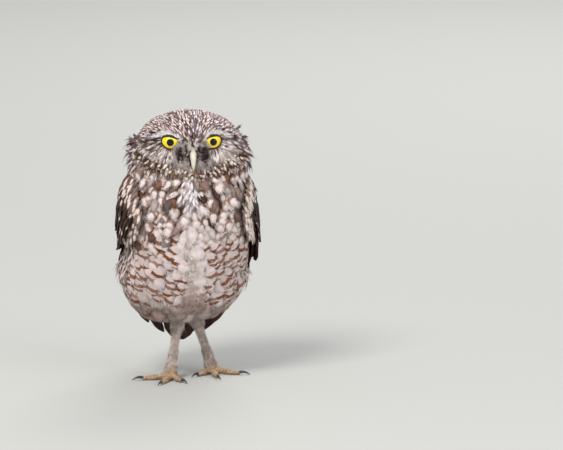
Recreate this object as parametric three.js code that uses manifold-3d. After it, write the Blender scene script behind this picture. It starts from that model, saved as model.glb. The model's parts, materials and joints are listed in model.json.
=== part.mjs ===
// A burrowing owl standing upright on its long legs, life size, in millimetres.
// +Z is up and the owl faces -Y, so its own left side is at +X.
// Every form grows from the body outline below: torso and head are stacks of oval rings,
// the folded wings are vanes laid on a cloak around the torso, and the feet stand on flats at z = 0.
import * as THREE from 'three';
import { mergeVertices } from 'three/addons/utils/BufferGeometryUtils.js';
import Module from 'manifold-3d';

const wasm = await Module();
wasm.setup();

// Clearance that parted pieces keep to each other
const GAP = 0.3;
const ROUND = 2 * Math.PI;
const DEGREE = Math.PI / 180;

// Sideways lean of the body: its middle line drifts towards +X with height
const LEAN_FOOT = -6.5;
const LEAN_RATE = 0.063;
const LEAN_FROM = 45;
const LEAN_TOP = 178;

// Outline of torso and head: height, half width, foremost y, rearmost y
const TORSO_OUTLINE = [
  [46, 0, 4, 4],
  [47.5, 18, -8, 21],
  [51, 30.5, -18, 36],
  [57, 39, -25, 46.5],
  [65, 45.2, -30, 53],
  [76, 50.3, -35, 56],
  [90, 53.5, -39.5, 56],
  [105, 54, -43, 55],
  [120, 53.2, -45, 53],
  [135, 52.4, -46, 49.5],
  [150, 50.8, -45.5, 45],
  [160, 48.6, -44, 41.5],
  [168, 45.2, -41.5, 38],
  [178, 34, -32, 29],
  [184, 0, -2, -2],
];
const HEAD_OUTLINE = [
  [154, 0, -3, -3],
  [158, 30, -28, 26],
  [165, 43.5, -37.5, 34],
  [172, 47, -40, 36.5],
  [180, 47.4, -39.8, 37],
  [188, 46, -38, 37],
  [196, 42.8, -36, 35.5],
  [204.5, 37.2, -31.5, 31],
  [210.5, 29.6, -25, 24.6],
  [215, 20.8, -18.5, 16],
  [218, 10.8, -10, 6.5],
  [219, 0, -2, -2],
];

// Uneven sides: height, then how far the body's right and left sides shift towards +X there.
// It is hollow where the right wing ends and full low on its left; the shift starts near the middle.
const SIDE_SHIFTS = [
  [46, 0, 0],
  [60, 0, 2],
  [72, 0, 2.6],
  [84, 0.5, 1.6],
  [92, 2.4, 0],
  [98, 4.8, 0],
  [105, 6.6, 0],
  [112, 6, 0],
  [120, 4.6, 0],
  [132, 3, 0],
  [144, 1, 0],
  [154, 0, 0],
];
const SIDE_SHIFT_START = 6;
const SIDE_SHIFT_FULL = 46;
const TORSO_RINGS = 17;
const HEAD_RINGS = 21;
const BODY_SIDES = 32;

// Cuts that part head, neck and torso
const HEAD_CUT = 170.5;
const NECK_CUT = 160;

// Head: turned a little to its left, with a shallow dish round each eye
const HEAD_TURN = 5 * DEGREE;
const HEAD_X = 2;
const HEAD_Y = -4;
const EYE_SPREAD = 16;
const EYE_HEIGHT = 197.4;
const EYE_Y = -24.2;
const EYE_RADIUS = 8.4;
const EYE_SPLAY = 9 * DEGREE;
const LID_THICK = 1.1;
const LID_OPENING_WIDTH = 14.6;
const LID_OPENING_HEIGHT = 10.8;
const LID_SLANT = 8 * DEGREE;
const DISH_DEPTH = 2.6;
const DISH_REACH = 13;
const BROW_RISE = 3.2;
const BROW_REACH = 5;
const BROW_LENGTH = 11;
const BROW_ABOVE_EYE = 9;
const BROW_SLANT = 0.28;
const BRIDGE_RISE = 2.5;
const BRIDGE_REACH = 6;
const BRIDGE_LENGTH = 12;
const FACE_DEPTH = 20;

// Bill: points of the ridge (y, z), then width and height of the section there
const BILL_X = 0.4;
const BILL_RIDGE = [
  [-32, 196.6, 8.4, 10],
  [-38.5, 195.6, 7.8, 9.6],
  [-43.4, 191.6, 6.5, 8.2],
  [-45.8, 186, 5.3, 6],
  [-46, 180.4, 3.6, 3.6],
  [-44.6, 175.8, 1, 0.9],
];
const LOWER_BILL_RIDGE = [
  [-30, 186.5, 7.4, 6],
  [-36.5, 184, 6.8, 5.4],
  [-40.4, 180.8, 5.2, 4.4],
  [-42.6, 177.6, 2.2, 1.8],
];
const BILL_SIDES = 14;
const NOSTRIL_RADIUS = 1;
const NOSTRIL_PLACE = [3, -40.4, 191.4];

// Cloak on which the folded wings lie: height, half width, foremost y, rearmost y
const CLOAK = [
  [14, 18, 36, 71.5],
  [20, 25, 31, 70.5],
  [27, 33, 24, 69.5],
  [35, 39, 17, 68.5],
  [50, 44.5, 2, 66.5],
  [65, 49, -16, 64.5],
  [80, 53.4, -36, 62.5],
  [90, 56, -42, 61.5],
  [100, 58.2, -46, 60.5],
  [120, 58, -49.2, 58],
  [140, 56.6, -50.8, 53.5],
  [155, 54, -49.5, 48],
  [168, 48, -45, 41],
];
// Front and rear edges of the wing's fleshy part: height, angle back from straight sideways.
// The right wing is held further forward than the left, its lower front edge is higher, and its
// long feathers reach further in behind the leg.
const WING_FRONT = [[104, 0], [110, -14], [118, -27], [125, -36], [140, -43], [155, -37], [166, -20]];
const WING_REAR = [[104, 84], [120, 82], [140, 77], [155, 67], [166, 50]];
const WING_FRONT_SHIFT = 7;
const WING_EDGE_HEIGHT = 99.5;
const WING_EDGE_DROP = 6.5;
const WING_TIP_TURN = 60.5;
const WING_TIP_SHIFT = 5.5;
const WING_SPREAD = 13.5;
const WING_SPREAD_SHIFT = 3.5;
const WING_CORE_TOP = 165;
const WING_CORE_BOTTOM = 104;
const WING_CORE_ROWS = 6;
const WING_CORE_COLUMNS = 9;
const WING_CORE_DEPTH = 9;
const WING_CORE_EDGE_DEPTH = 2.6;
const WING_CORE_FRONT_INSET = 3;
const WING_CORE_REAR_INSET = 2;

// Feather rows of one wing
const VANE_THICK = 0.5;
const VANE_TILT = 0.9;
const PRIMARIES = 8;
const SECONDARIES = 6;
const TERTIALS = 2;
const PRIMARY_COVERTS = 4;
const GREATER_COVERTS = 6;
const MEDIAN_COVERTS = 6;
const SCAPULARS = 5;
const ALULA_FEATHERS = 2;

// Tail: a roof of vanes behind the legs
const TAIL_FEATHERS = 12;
const TAIL_ROOT = [38, 90];
const TAIL_TIP = [67, 18];
const TAIL_ROOT_SPREAD = 5;
const TAIL_TIP_SPREAD = 9;
const TAIL_OUTER_SHORT = 9;
const TAIL_ROOF = 0.85;
const TAIL_FEATHER_WIDTH = 11;
// Pad that the tail grows from: distance from the root, half width, half height
const TAIL_PAD = [[8, 9, 4], [24, 13, 5.5], [36, 12, 4.6], [46, 8, 2]];
const TAIL_PAD_BACK = -2.4;
const TAIL_PAD_DROP = -1;
const UPPER_TAIL_COVERTS = {
  count: 4, from: 24, to: 55, rootSpread: 6.5, tipSpread: 8, rootLift: 0.6, tipLift: 2, width: 11, sink: 2,
};
const UNDER_TAIL_COVERTS = {
  count: 3, from: 36, to: 62, rootSpread: 6, tipSpread: 7, rootLift: -6, tipLift: -7.4, width: 11, sink: 0,
};

// Legs: ankle (floor end) and heel of each, then the thigh's upper end inside the torso
const LEGS = {
  left: { ankle: [19.2, 14.5, 7], heel: [5.2, 15, 51], hip: [9, 2, 72] },
  right: { ankle: [-13, -10.5, 7], heel: [-6.4, 0, 52], hip: [-14, -8, 72] },
};
const TARSUS_RADIUS = 3;
const TARSUS_END_RADIUS = 3.9;
const TARSUS_FOOT_RADIUS = 4.6;
const HEEL_RADIUS = 4.4;
const THIGH_RADIUS = 13;
const THIGH_SLEEVE = 0.8;
const HEEL_CUT = 0.77;
const ANKLE_CUT = 9;
// Shaft of the tarsus: share of the way from ankle to heel, radius
const TARSUS_SHAPE = [
  [-0.06, TARSUS_FOOT_RADIUS], [0.06, TARSUS_FOOT_RADIUS], [0.24, TARSUS_RADIUS * 1.1], [0.6, TARSUS_RADIUS],
  [0.85, TARSUS_END_RADIUS], [1, HEEL_RADIUS], [1.08, HEEL_RADIUS],
];

// Toes: direction in degrees (0 is +X, -90 is straight ahead), length, claw length
const TOES = {
  left: [
    { name: 'inner', turn: -128, length: 17, claw: 7.5 },
    { name: 'middle', turn: -76, length: 22, claw: 8.5 },
    { name: 'outer', turn: -15, length: 24, claw: 8 },
    { name: 'hind', turn: 104, length: 11, claw: 7 },
  ],
  right: [
    { name: 'inner', turn: -58, length: 17, claw: 7.5 },
    { name: 'middle', turn: -108, length: 23, claw: 8.5 },
    { name: 'outer', turn: -169, length: 23, claw: 8 },
    { name: 'hind', turn: 74, length: 11.5, claw: 7 },
  ],
};
const TOE_ROOT_RADIUS = 3.3;
const TOE_RADIUS = 2.5;
const TOE_TIP_RADIUS = 1.9;
const TOE_FLAT = 0.45;
const TOE_ROOT_HEIGHT = 4.6;
// Toe: share of its length, radius, height of its middle line
const TOE_SHAPE = [
  [0, TOE_ROOT_RADIUS, TOE_ROOT_HEIGHT], [0.22, TOE_ROOT_RADIUS, TOE_ROOT_RADIUS],
  [0.42, TOE_RADIUS * 0.88, TOE_RADIUS], [0.62, TOE_RADIUS, TOE_RADIUS - TOE_FLAT],
  [0.8, TOE_RADIUS * 0.84, TOE_RADIUS * 0.84 - TOE_FLAT], [1, TOE_TIP_RADIUS, TOE_TIP_RADIUS - TOE_FLAT],
];
const CLAW_ROOT_RADIUS = 1.25;
// Claw: share of its length, height of its middle line, share of the root's radius
const CLAW_SHAPE = [
  [-0.25, 1.9, 1], [0.18, 2.6, 1], [0.42, 2.75, 0.86],
  [0.7, 2.25, 0.62], [0.95, 1.35, 0.38], [1.1, 0.55, 0.16],
];

// Finishes, with colours from the living bird
const finish = (color, roughness) => new THREE.MeshStandardMaterial({ color, roughness, metalness: 0 });
const crownFeather = finish(0x6b5647, 0.9);
const throatFeather = finish(0xb7a794, 0.9);
const bodyFeather = finish(0xc9b9a4, 0.92);
const wingFeather = finish(0x4f3a2c, 0.82);
const tailFeather = finish(0x5b4432, 0.82);
const legFeather = finish(0xcdb9a2, 0.9);
const toeSkin = finish(0xb98d4d, 0.75);
const clawHorn = finish(0x2e2f36, 0.4);
const billHorn = finish(0xc9c7a4, 0.42);
const eyeYellow = finish(0xf2cf12, 0.12);

// Value of a profile column at a height, as a smooth curve that never overshoots its knots
function profile(knots, column, height) {
  const last = knots.length - 1;
  const at = Math.min(Math.max(height, knots[0][0]), knots[last][0]);
  const rise = k => (knots[k + 1][column] - knots[k][column]) / (knots[k + 1][0] - knots[k][0]);
  const slope = k => {
    if (k === 0) return rise(0);
    if (k === last) return rise(last - 1);
    const before = rise(k - 1);
    const after = rise(k);
    return before * after <= 0 ? 0 : 2 * before * after / (before + after);
  };
  let k = 0;
  while (k < last - 1 && at > knots[k + 1][0]) k += 1;
  const span = knots[k + 1][0] - knots[k][0];
  const u = (at - knots[k][0]) / span;
  const u2 = u * u;
  const u3 = u2 * u;
  return (2 * u3 - 3 * u2 + 1) * knots[k][column] + (u3 - 2 * u2 + u) * span * slope(k)
    + (3 * u2 - 2 * u3) * knots[k + 1][column] + (u3 - u2) * span * slope(k + 1);
}

const mix = (a, b, u) => a + (b - a) * u;

function leanAt(height) {
  return LEAN_FOOT + LEAN_RATE * (Math.min(height, LEAN_TOP) - LEAN_FROM);
}

// A point's own x with the body's uneven sides and its lean
function bodyX(x, z) {
  const reach = (Math.abs(x) - SIDE_SHIFT_START) / (SIDE_SHIFT_FULL - SIDE_SHIFT_START);
  const u = Math.min(Math.max(reach, 0), 1);
  return leanAt(z) + x + profile(SIDE_SHIFTS, x < 0 ? 1 : 2, z) * u * u * (3 - 2 * u);
}

// Seeded draw for the small differences between feathers
function randomFrom(seed) {
  let state = seed;
  return () => {
    state = (state * 1664525 + 1013904223) % 4294967296;
    return state / 4294967296;
  };
}

// Closed solid from points and faces, turned right side out if need be
function solidFrom(points, faces) {
  let volume = 0;
  for (const [a, b, c] of faces) {
    volume += points[a].dot(new THREE.Vector3().crossVectors(points[b], points[c]));
  }
  const geometry = new THREE.BufferGeometry();
  geometry.setAttribute('position', new THREE.Float32BufferAttribute(points.flatMap(p => p.toArray()), 3));
  geometry.setIndex(faces.flatMap(f => (volume < 0 ? [f[0], f[2], f[1]] : f)));
  return solidOf(geometry);
}

function solidOf(geometry) {
  geometry.deleteAttribute('normal');
  geometry.deleteAttribute('uv');
  const merged = mergeVertices(geometry, 1e-5);
  const mesh = new wasm.Mesh({
    numProp: 3,
    vertProperties: new Float32Array(merged.attributes.position.array),
    triVerts: new Uint32Array(merged.index.array),
  });
  return new wasm.Manifold(mesh);
}

// Rings of points joined into a closed skin, with a fan over each end
function loft(rings, startPoint, endPoint) {
  const sides = rings[0].length;
  const points = [startPoint, ...rings.flat(), endPoint];
  const faces = [];
  const ringPoint = (ring, side) => 1 + ring * sides + (side % sides);
  for (let side = 0; side < sides; side += 1) {
    faces.push([0, ringPoint(0, side + 1), ringPoint(0, side)]);
    faces.push([points.length - 1, ringPoint(rings.length - 1, side), ringPoint(rings.length - 1, side + 1)]);
    for (let ring = 0; ring < rings.length - 1; ring += 1) {
      const [a, b] = [ringPoint(ring, side), ringPoint(ring, side + 1)];
      const [c, d] = [ringPoint(ring + 1, side + 1), ringPoint(ring + 1, side)];
      faces.push([a, b, c], [a, c, d]);
    }
  }
  return solidFrom(points, faces);
}

// Oval rings stacked by height; grow makes the same form larger all round
function stackedForm(outline, ringCount, grow, place) {
  const low = outline[0][0] - grow;
  const high = outline[outline.length - 1][0] + grow;
  const toOutline = z => mix(outline[0][0], outline[outline.length - 1][0], (z - low) / (high - low));
  const rings = [];
  for (let i = 1; i < ringCount; i += 1) {
    const z = mix(low, high, (1 - Math.cos(Math.PI * i / ringCount)) / 2);
    const ring = [];
    for (let j = 0; j < BODY_SIDES; j += 1) {
      const turn = ROUND * j / BODY_SIDES;
      const half = profile(outline, 1, toOutline(z)) + grow;
      const front = profile(outline, 2, toOutline(z)) - grow;
      const back = profile(outline, 3, toOutline(z)) + grow;
      const point = new THREE.Vector3(
        half * Math.cos(turn), (front + back) / 2 + (back - front) / 2 * Math.sin(turn), z);
      ring.push(place(point));
    }
    rings.push(ring);
  }
  const pole = (row, z) => place(new THREE.Vector3(0, row[2], z));
  return loft(rings, pole(outline[0], low), pole(outline[outline.length - 1], high));
}

function torsoForm(grow) {
  return stackedForm(TORSO_OUTLINE, TORSO_RINGS, grow, p => p.setX(bodyX(p.x, p.z)));
}

// Head frame: its own turn about the vertical, then its place over the body
function placeHead(point) {
  const x = point.x;
  const y = point.y - HEAD_Y;
  return point.set(
    HEAD_X + x * Math.cos(HEAD_TURN) - y * Math.sin(HEAD_TURN),
    HEAD_Y + x * Math.sin(HEAD_TURN) + y * Math.cos(HEAD_TURN),
    point.z);
}

const bump = (distance, reach) => Math.exp(-distance * distance / (reach * reach));

// The face: a dish round each eye, a brow over it, and a bridge down to the bill
function faceShift(x, z) {
  const sideways = Math.abs(x) - EYE_SPREAD;
  const up = z - EYE_HEIGHT;
  const dish = DISH_DEPTH * bump(Math.hypot(sideways, up + 1), DISH_REACH);
  const browLine = BROW_ABOVE_EYE + BROW_SLANT * sideways;
  const brow = BROW_RISE * bump(up - browLine, BROW_REACH) * bump(sideways + 2, BROW_LENGTH);
  const bridge = BRIDGE_RISE * bump(x, BRIDGE_REACH) * bump(up + 5, BRIDGE_LENGTH);
  return dish - brow - bridge;
}

function headForm(grow) {
  return stackedForm(HEAD_OUTLINE, HEAD_RINGS, grow, point => {
    if (point.y < HEAD_Y) {
      const frontness = Math.min(1, (HEAD_Y - point.y) / FACE_DEPTH);
      point.y += faceShift(point.x, point.z) * frontness;
    }
    return placeHead(point);
  });
}

function keepLargest(solid) {
  const pieces = solid.decompose();
  return pieces.reduce((best, piece) => (piece.volume() > best.volume() ? piece : best), pieces[0]);
}

function joined(solids) {
  return solids.reduce((whole, solid) => whole.add(solid));
}

const group = new THREE.Group();

function addNode(name, solid, material) {
  const mesh = keepLargest(solid).getMesh();
  const positions = [];
  for (let i = 0; i < mesh.numVert; i += 1) {
    positions.push(...mesh.vertProperties.slice(i * mesh.numProp, i * mesh.numProp + 3));
  }
  const geometry = new THREE.BufferGeometry();
  geometry.setAttribute('position', new THREE.Float32BufferAttribute(positions, 3));
  geometry.setIndex(Array.from(mesh.triVerts));
  geometry.computeVertexNormals();
  const node = new THREE.Mesh(geometry, material);
  node.name = name;
  group.add(node);
}

// Round section swept along a run of stations: each has a place, a half width and a half height
function sweptForm(stations, sides, grow, sideways = new THREE.Vector3(1, 0, 0)) {
  const last = stations.length - 1;
  const rings = stations.map((station, i) => {
    const ahead = stations[Math.min(i + 1, last)].place.clone()
      .sub(stations[Math.max(i - 1, 0)].place).normalize();
    const across = sideways.clone().addScaledVector(ahead, -sideways.dot(ahead)).normalize();
    const upright = new THREE.Vector3().crossVectors(ahead, across);
    const ring = [];
    for (let j = 0; j < sides; j += 1) {
      const turn = ROUND * (j + 0.5) / sides;
      ring.push(station.place.clone()
        .addScaledVector(across, (station.halfWidth + grow) * Math.cos(turn))
        .addScaledVector(upright, (station.halfHeight + grow) * Math.sin(turn)));
    }
    return ring;
  });
  const endPoint = (at, from) => {
    const out = at.place.clone().sub(from.place).normalize();
    return at.place.clone().addScaledVector(out, grow + Math.min(at.halfWidth, at.halfHeight) * 0.5);
  };
  return loft(rings, endPoint(stations[0], stations[1]), endPoint(stations[last], stations[last - 1]));
}

// Head, neck and torso: one form parted by two level cuts
const upVector = [0, 0, 1];
const downVector = [0, 0, -1];
const wholeBody = torsoForm(0).add(headForm(0));

function eyePlace(side) {
  return placeHead(new THREE.Vector3(side * EYE_SPREAD, EYE_Y, EYE_HEIGHT));
}

function ball(center, radius, across, down) {
  const geometry = new THREE.SphereGeometry(radius, across, down);
  geometry.rotateX(Math.PI / 2);
  geometry.translate(center.x, center.y, center.z);
  return solidOf(geometry);
}

// Opening between the lids: an oval prism along the line of sight
function lidOpening(side) {
  const oval = new THREE.Shape();
  oval.absellipse(0, 0, LID_OPENING_WIDTH / 2, LID_OPENING_HEIGHT / 2, 0, ROUND);
  const geometry = new THREE.ExtrudeGeometry(oval, { depth: 20, bevelEnabled: false, curveSegments: 9 });
  geometry.rotateZ(side * LID_SLANT);
  geometry.rotateX(Math.PI / 2);
  geometry.rotateZ(side * EYE_SPLAY + HEAD_TURN);
  const center = eyePlace(side);
  geometry.translate(center.x, center.y, center.z);
  return solidOf(geometry);
}

function billForm(ridge, grow) {
  const stations = ridge.map(([y, z, width, height]) => (
    { ridge: new THREE.Vector3(BILL_X, y, z), width, height }));
  const last = stations.length - 1;
  const rings = stations.map((station, i) => {
    const ahead = stations[Math.min(i + 1, last)].ridge.clone()
      .sub(stations[Math.max(i - 1, 0)].ridge).normalize();
    const inward = new THREE.Vector3(0, -ahead.z, ahead.y);
    const ring = [];
    for (let j = 0; j < BILL_SIDES; j += 1) {
      const turn = ROUND * j / BILL_SIDES;
      ring.push(placeHead(station.ridge.clone()
        .addScaledVector(inward, station.height / 2 - (station.height / 2 + grow) * Math.cos(turn))
        .add(new THREE.Vector3((station.width / 2 + grow) * Math.sin(turn), 0, 0))));
    }
    return ring;
  });
  const middle = ring => ring.reduce((sum, p) => sum.add(p), new THREE.Vector3()).divideScalar(ring.length);
  const tip = middle(rings[last]).add(new THREE.Vector3(0, 0.3, -0.6 - grow));
  return loft(rings, middle(rings[0]), tip);
}

const headWithGap = headForm(GAP);
const upperBill = billForm(BILL_RIDGE, 0);
const nostrils = [-1, 1].map(side => ball(
  placeHead(new THREE.Vector3(BILL_X + side * NOSTRIL_PLACE[0], NOSTRIL_PLACE[1], NOSTRIL_PLACE[2])),
  NOSTRIL_RADIUS, 8, 6));
const lids = [-1, 1].map(side => ball(eyePlace(side), EYE_RADIUS + GAP + LID_THICK, 20, 12));
const sockets = [-1, 1].map(side => ball(eyePlace(side), EYE_RADIUS + GAP, 16, 10));
let head = joined([wholeBody.trimByPlane(upVector, HEAD_CUT + GAP / 2), ...lids]);
for (const cut of [...sockets, lidOpening(-1), lidOpening(1)]) head = head.subtract(cut);
addNode('head', head, crownFeather);
const belowHead = wholeBody.trimByPlane(downVector, -(HEAD_CUT - GAP / 2));
addNode('neck', belowHead.trimByPlane(upVector, NECK_CUT + GAP / 2), throatFeather);
addNode('torso', wholeBody.trimByPlane(downVector, -(NECK_CUT - GAP / 2)), bodyFeather);
addNode('eye_left', ball(eyePlace(1), EYE_RADIUS, 14, 10), eyeYellow);
addNode('eye_right', ball(eyePlace(-1), EYE_RADIUS, 14, 10), eyeYellow);
addNode('bill_upper', upperBill.subtract(headWithGap).subtract(nostrils[0]).subtract(nostrils[1]), billHorn);
addNode('bill_lower', billForm(LOWER_BILL_RIDGE, 0).subtract(headWithGap).subtract(billForm(BILL_RIDGE, GAP)),
  billHorn);

// Point on a surface of two coordinates, raised by a height along its outward normal
function raised(surface, u, v, height) {
  const step = 0.01;
  const center = surface.at(u, v);
  const alongU = surface.at(u + step, v).sub(center).divideScalar(step);
  const alongV = surface.at(u, v + step).sub(center).divideScalar(step);
  const normal = new THREE.Vector3().crossVectors(alongU, alongV).normalize().multiplyScalar(surface.facing);
  return { point: center.addScaledVector(normal, height), alongU, alongV, normal };
}

// One feather vane on a surface, from root to tip. Its outline swells from the quill to the
// middle and closes in a rounded end; tilt lowers one edge so that neighbours overlap like slats.
const VANE_WIDTHS = [[0, 0.35], [0.3, 0.85], [0.6, 1], [0.82, 0.88], [0.94, 0.58], [1, 0.22]];
const VANE_RISE_END = 0.3;
function vane(surface, feather) {
  const stations = [0, VANE_RISE_END, 0.65, 0.9, 1];
  const columns = feather.ridged ? [-1, 0, 1] : [-1, 1];
  const lift = u => (u < VANE_RISE_END
    ? mix(feather.rootLift, feather.bodyLift, u / VANE_RISE_END)
    : mix(feather.bodyLift, feather.tipLift, (u - VANE_RISE_END) / (1 - VANE_RISE_END)));
  const rows = stations.map(u => {
    const place = s => [mix(feather.root[0], feather.tip[0], s), mix(feather.root[1], feather.tip[1], s)];
    const [a, b] = place(u);
    const here = raised(surface, a, b, 0);
    const behind = raised(surface, ...place(u - 0.02), 0).point;
    const ahead = raised(surface, ...place(u + 0.02), 0).point.sub(behind);
    const across = new THREE.Vector3().crossVectors(here.normal, ahead).normalize();
    const half = feather.width / 2 * profile(VANE_WIDTHS, 1, u);
    const slack = across.dot(here.alongU) / here.alongU.lengthSq();
    const swing = across.dot(here.alongV) / here.alongV.lengthSq();
    return columns.map(column => {
      const height = lift(u) + column * feather.tilt * half / (feather.width / 2);
      const spot = [a + column * half * slack, b + column * half * swing];
      return [1, -1].map(face => raised(surface, ...spot, height + face * VANE_THICK / 2).point);
    });
  });
  const points = rows.flat(2);
  const wide = columns.length;
  const index = (row, column, face) => (row * wide + column) * 2 + face;
  const faces = [];
  const quad = (a, b, c, d) => faces.push([a, b, c], [a, c, d]);
  for (let row = 0; row < rows.length - 1; row += 1) {
    for (let column = 0; column < wide - 1; column += 1) {
      const next = row + 1;
      quad(
        index(row, column, 0), index(row, column + 1, 0), index(next, column + 1, 0), index(next, column, 0));
      const [a, b] = [index(row, column, 1), index(row, column + 1, 1)];
      const [c, d] = [index(next, column + 1, 1), index(next, column, 1)];
      faces.push([a, c, b], [a, d, c]);
    }
    quad(index(row, 0, 1), index(row, 0, 0), index(row + 1, 0, 0), index(row + 1, 0, 1));
    const edge = wide - 1;
    quad(index(row, edge, 0), index(row, edge, 1), index(row + 1, edge, 1), index(row + 1, edge, 0));
  }
  for (let column = 0; column < wide - 1; column += 1) {
    const end = rows.length - 1;
    quad(index(0, column, 0), index(0, column, 1), index(0, column + 1, 1), index(0, column + 1, 0));
    quad(index(end, column, 1), index(end, column, 0), index(end, column + 1, 0), index(end, column + 1, 1));
  }
  return solidFrom(points, faces);
}

// The cloak as a surface of height and angle, for the wing on one side
function cloakSurface(side) {
  return {
    facing: -side,
    at: (z, degrees) => {
      const front = profile(CLOAK, 2, z);
      const back = profile(CLOAK, 3, z);
      return new THREE.Vector3(
        bodyX(side * profile(CLOAK, 1, z) * Math.cos(degrees * DEGREE), z),
        (front + back) / 2 + (back - front) / 2 * Math.sin(degrees * DEGREE), z);
    },
  };
}

// Fleshy part of the wing: a slab between the cloak and the torso's side
function wingCore(surface, fore) {
  const outer = [];
  const inner = [];
  for (let row = 0; row <= WING_CORE_ROWS; row += 1) {
    const z = mix(WING_CORE_TOP, WING_CORE_BOTTOM, row / WING_CORE_ROWS);
    for (let column = 0; column <= WING_CORE_COLUMNS; column += 1) {
      const u = column / WING_CORE_COLUMNS;
      const front = profile(WING_FRONT, 1, z) + fore + WING_CORE_FRONT_INSET;
      const angle = mix(front, profile(WING_REAR, 1, z) - WING_CORE_REAR_INSET, u);
      const rowEdge = row === 0 || row === WING_CORE_ROWS;
      const edge = rowEdge || column === 0 || column === WING_CORE_COLUMNS;
      outer.push(raised(surface, z, angle, edge ? -WING_CORE_EDGE_DEPTH : 0).point);
      inner.push(raised(surface, z, angle, -WING_CORE_DEPTH).point);
    }
  }
  const wide = WING_CORE_COLUMNS + 1;
  const points = [...outer, ...inner];
  const faces = [];
  const wall = (a, b) => {
    faces.push([a, b, b + outer.length], [a, b + outer.length, a + outer.length]);
  };
  for (let row = 0; row < WING_CORE_ROWS; row += 1) {
    for (let column = 0; column < WING_CORE_COLUMNS; column += 1) {
      const [a, b] = [row * wide + column, row * wide + column + 1];
      const [c, d] = [b + wide, a + wide];
      faces.push([a, c, b], [a, d, c]);
      faces.push([a, b, c].map(k => k + outer.length), [a, c, d].map(k => k + outer.length));
    }
    wall(row * wide + wide - 1, (row + 1) * wide + wide - 1);
    wall((row + 1) * wide, row * wide);
  }
  for (let column = 0; column < WING_CORE_COLUMNS; column += 1) {
    wall(column, column + 1);
    wall(WING_CORE_ROWS * wide + column + 1, WING_CORE_ROWS * wide + column);
  }
  return solidFrom(points, faces);
}

// A row of vanes laid side by side between two end feathers
function featherRow(surface, row, random) {
  const vanes = [];
  for (let i = 0; i < row.count; i += 1) {
    const u = row.count === 1 ? 0 : i / (row.count - 1);
    const vary = () => 1 + (random() - 0.5) * row.spread;
    const between = (from, to, k) => mix(from[k], (to ?? from)[k], u);
    const rootHeight = between(row.rootFrom, row.rootTo, 0);
    const tipHeight = between(row.tipFrom, row.tipTo, 0);
    vanes.push(vane(surface, {
      root: [rootHeight, between(row.rootFrom, row.rootTo, 1)],
      tip: [rootHeight + (tipHeight - rootHeight) * vary(), between(row.tipFrom, row.tipTo, 1)],
      width: row.width * vary(),
      tilt: row.tilt,
      rootLift: row.rootLift,
      bodyLift: row.bodyLift,
      tipLift: row.tipLift,
      ridged: row.ridged,
    }));
  }
  return vanes;
}

// Tiers of a folded wing, outermost tier last; heights and angles are on the cloak
function wingRows(side) {
  const fore = side * WING_FRONT_SHIFT;
  const edge = WING_EDGE_HEIGHT - side * WING_EDGE_DROP;
  const tipTurn = WING_TIP_TURN - side * WING_TIP_SHIFT;
  const outerTurn = tipTurn - WING_SPREAD + side * WING_SPREAD_SHIFT;
  const flight = { tilt: -side * VANE_TILT, rootLift: -2.4, bodyLift: -1.2, tipLift: -0.2, ridged: true };
  const covert = { tilt: -side * VANE_TILT, rootLift: -1.4, bodyLift: 1.1, tipLift: 2, spread: 0.08 };
  return [
    { ...flight, count: 1, width: 9, spread: 0, rootFrom: [110, 8], tipFrom: [33, outerTurn] },
    { ...flight, count: PRIMARIES - 1, width: 10, spread: 0.03,
      rootFrom: [116, 34], rootTo: [113, 12], tipFrom: [68, 70], tipTo: [24.5, tipTurn] },
    { ...flight, count: SECONDARIES, width: 12, spread: 0.05,
      rootFrom: [116, 72], rootTo: [115, 38], tipFrom: [78, 80], tipTo: [69, 68] },
    { ...covert, count: TERTIALS, width: 12, spread: 0.05, tipLift: 1.6,
      rootFrom: [124, 79], rootTo: [122, 66], tipFrom: [88, 81], tipTo: [80, 69] },
    { ...covert, count: PRIMARY_COVERTS, width: 11,
      rootFrom: [133, 6], rootTo: [130, fore - 26], tipFrom: [96, 30], tipTo: [edge, fore + 2] },
    { ...covert, count: GREATER_COVERTS, width: 13,
      rootFrom: [138, 73], rootTo: [136, 6], tipFrom: [104, 77], tipTo: [100, 27] },
    { ...covert, count: MEDIAN_COVERTS, width: 16, tipLift: 2.4,
      rootFrom: [151, 66], rootTo: [149, fore - 25], tipFrom: [124, 72], tipTo: [119, fore - 12] },
    { ...covert, count: ALULA_FEATHERS, width: 7, bodyLift: 2.6, tipLift: 3.4, spread: 0.05,
      rootFrom: [140, fore - 24], rootTo: [139, fore - 31],
      tipFrom: [109, fore - 8], tipTo: [113, fore - 16] },
    { ...covert, count: SCAPULARS, width: 13, bodyLift: 2.4, tipLift: 3.8,
      rootFrom: [160, 58], rootTo: [159, 16], tipFrom: [112, 78], tipTo: [121, 32] },
  ];
}

// A hair more than the gap, so that facets on both sides still keep it
const torsoWithGap = torsoForm(GAP + 0.05);

function wing(side, seed) {
  const surface = cloakSurface(side);
  const random = randomFrom(seed);
  const pieces = [wingCore(surface, side * WING_FRONT_SHIFT)];
  for (const row of wingRows(side)) pieces.push(...featherRow(surface, row, random));
  return joined(pieces).subtract(torsoWithGap).subtract(headWithGap);
}

addNode('wing_left', wing(1, 11), wingFeather);
addNode('wing_right', wing(-1, 12), wingFeather);

// The tail as a flat surface: distance from the root, then sideways
const tailRootPoint = new THREE.Vector3(0, TAIL_ROOT[0], TAIL_ROOT[1]);
const tailReach = new THREE.Vector3(0, TAIL_TIP[0] - TAIL_ROOT[0], TAIL_TIP[1] - TAIL_ROOT[1]);
const TAIL_LENGTH = tailReach.length();
const tailAhead = tailReach.clone().normalize();
const tailSurface = {
  facing: -1,
  at: (reach, across) => tailRootPoint.clone().addScaledVector(tailAhead, reach)
    .add(new THREE.Vector3(leanAt(LEAN_FROM) + across, 0, 0)),
};

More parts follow.
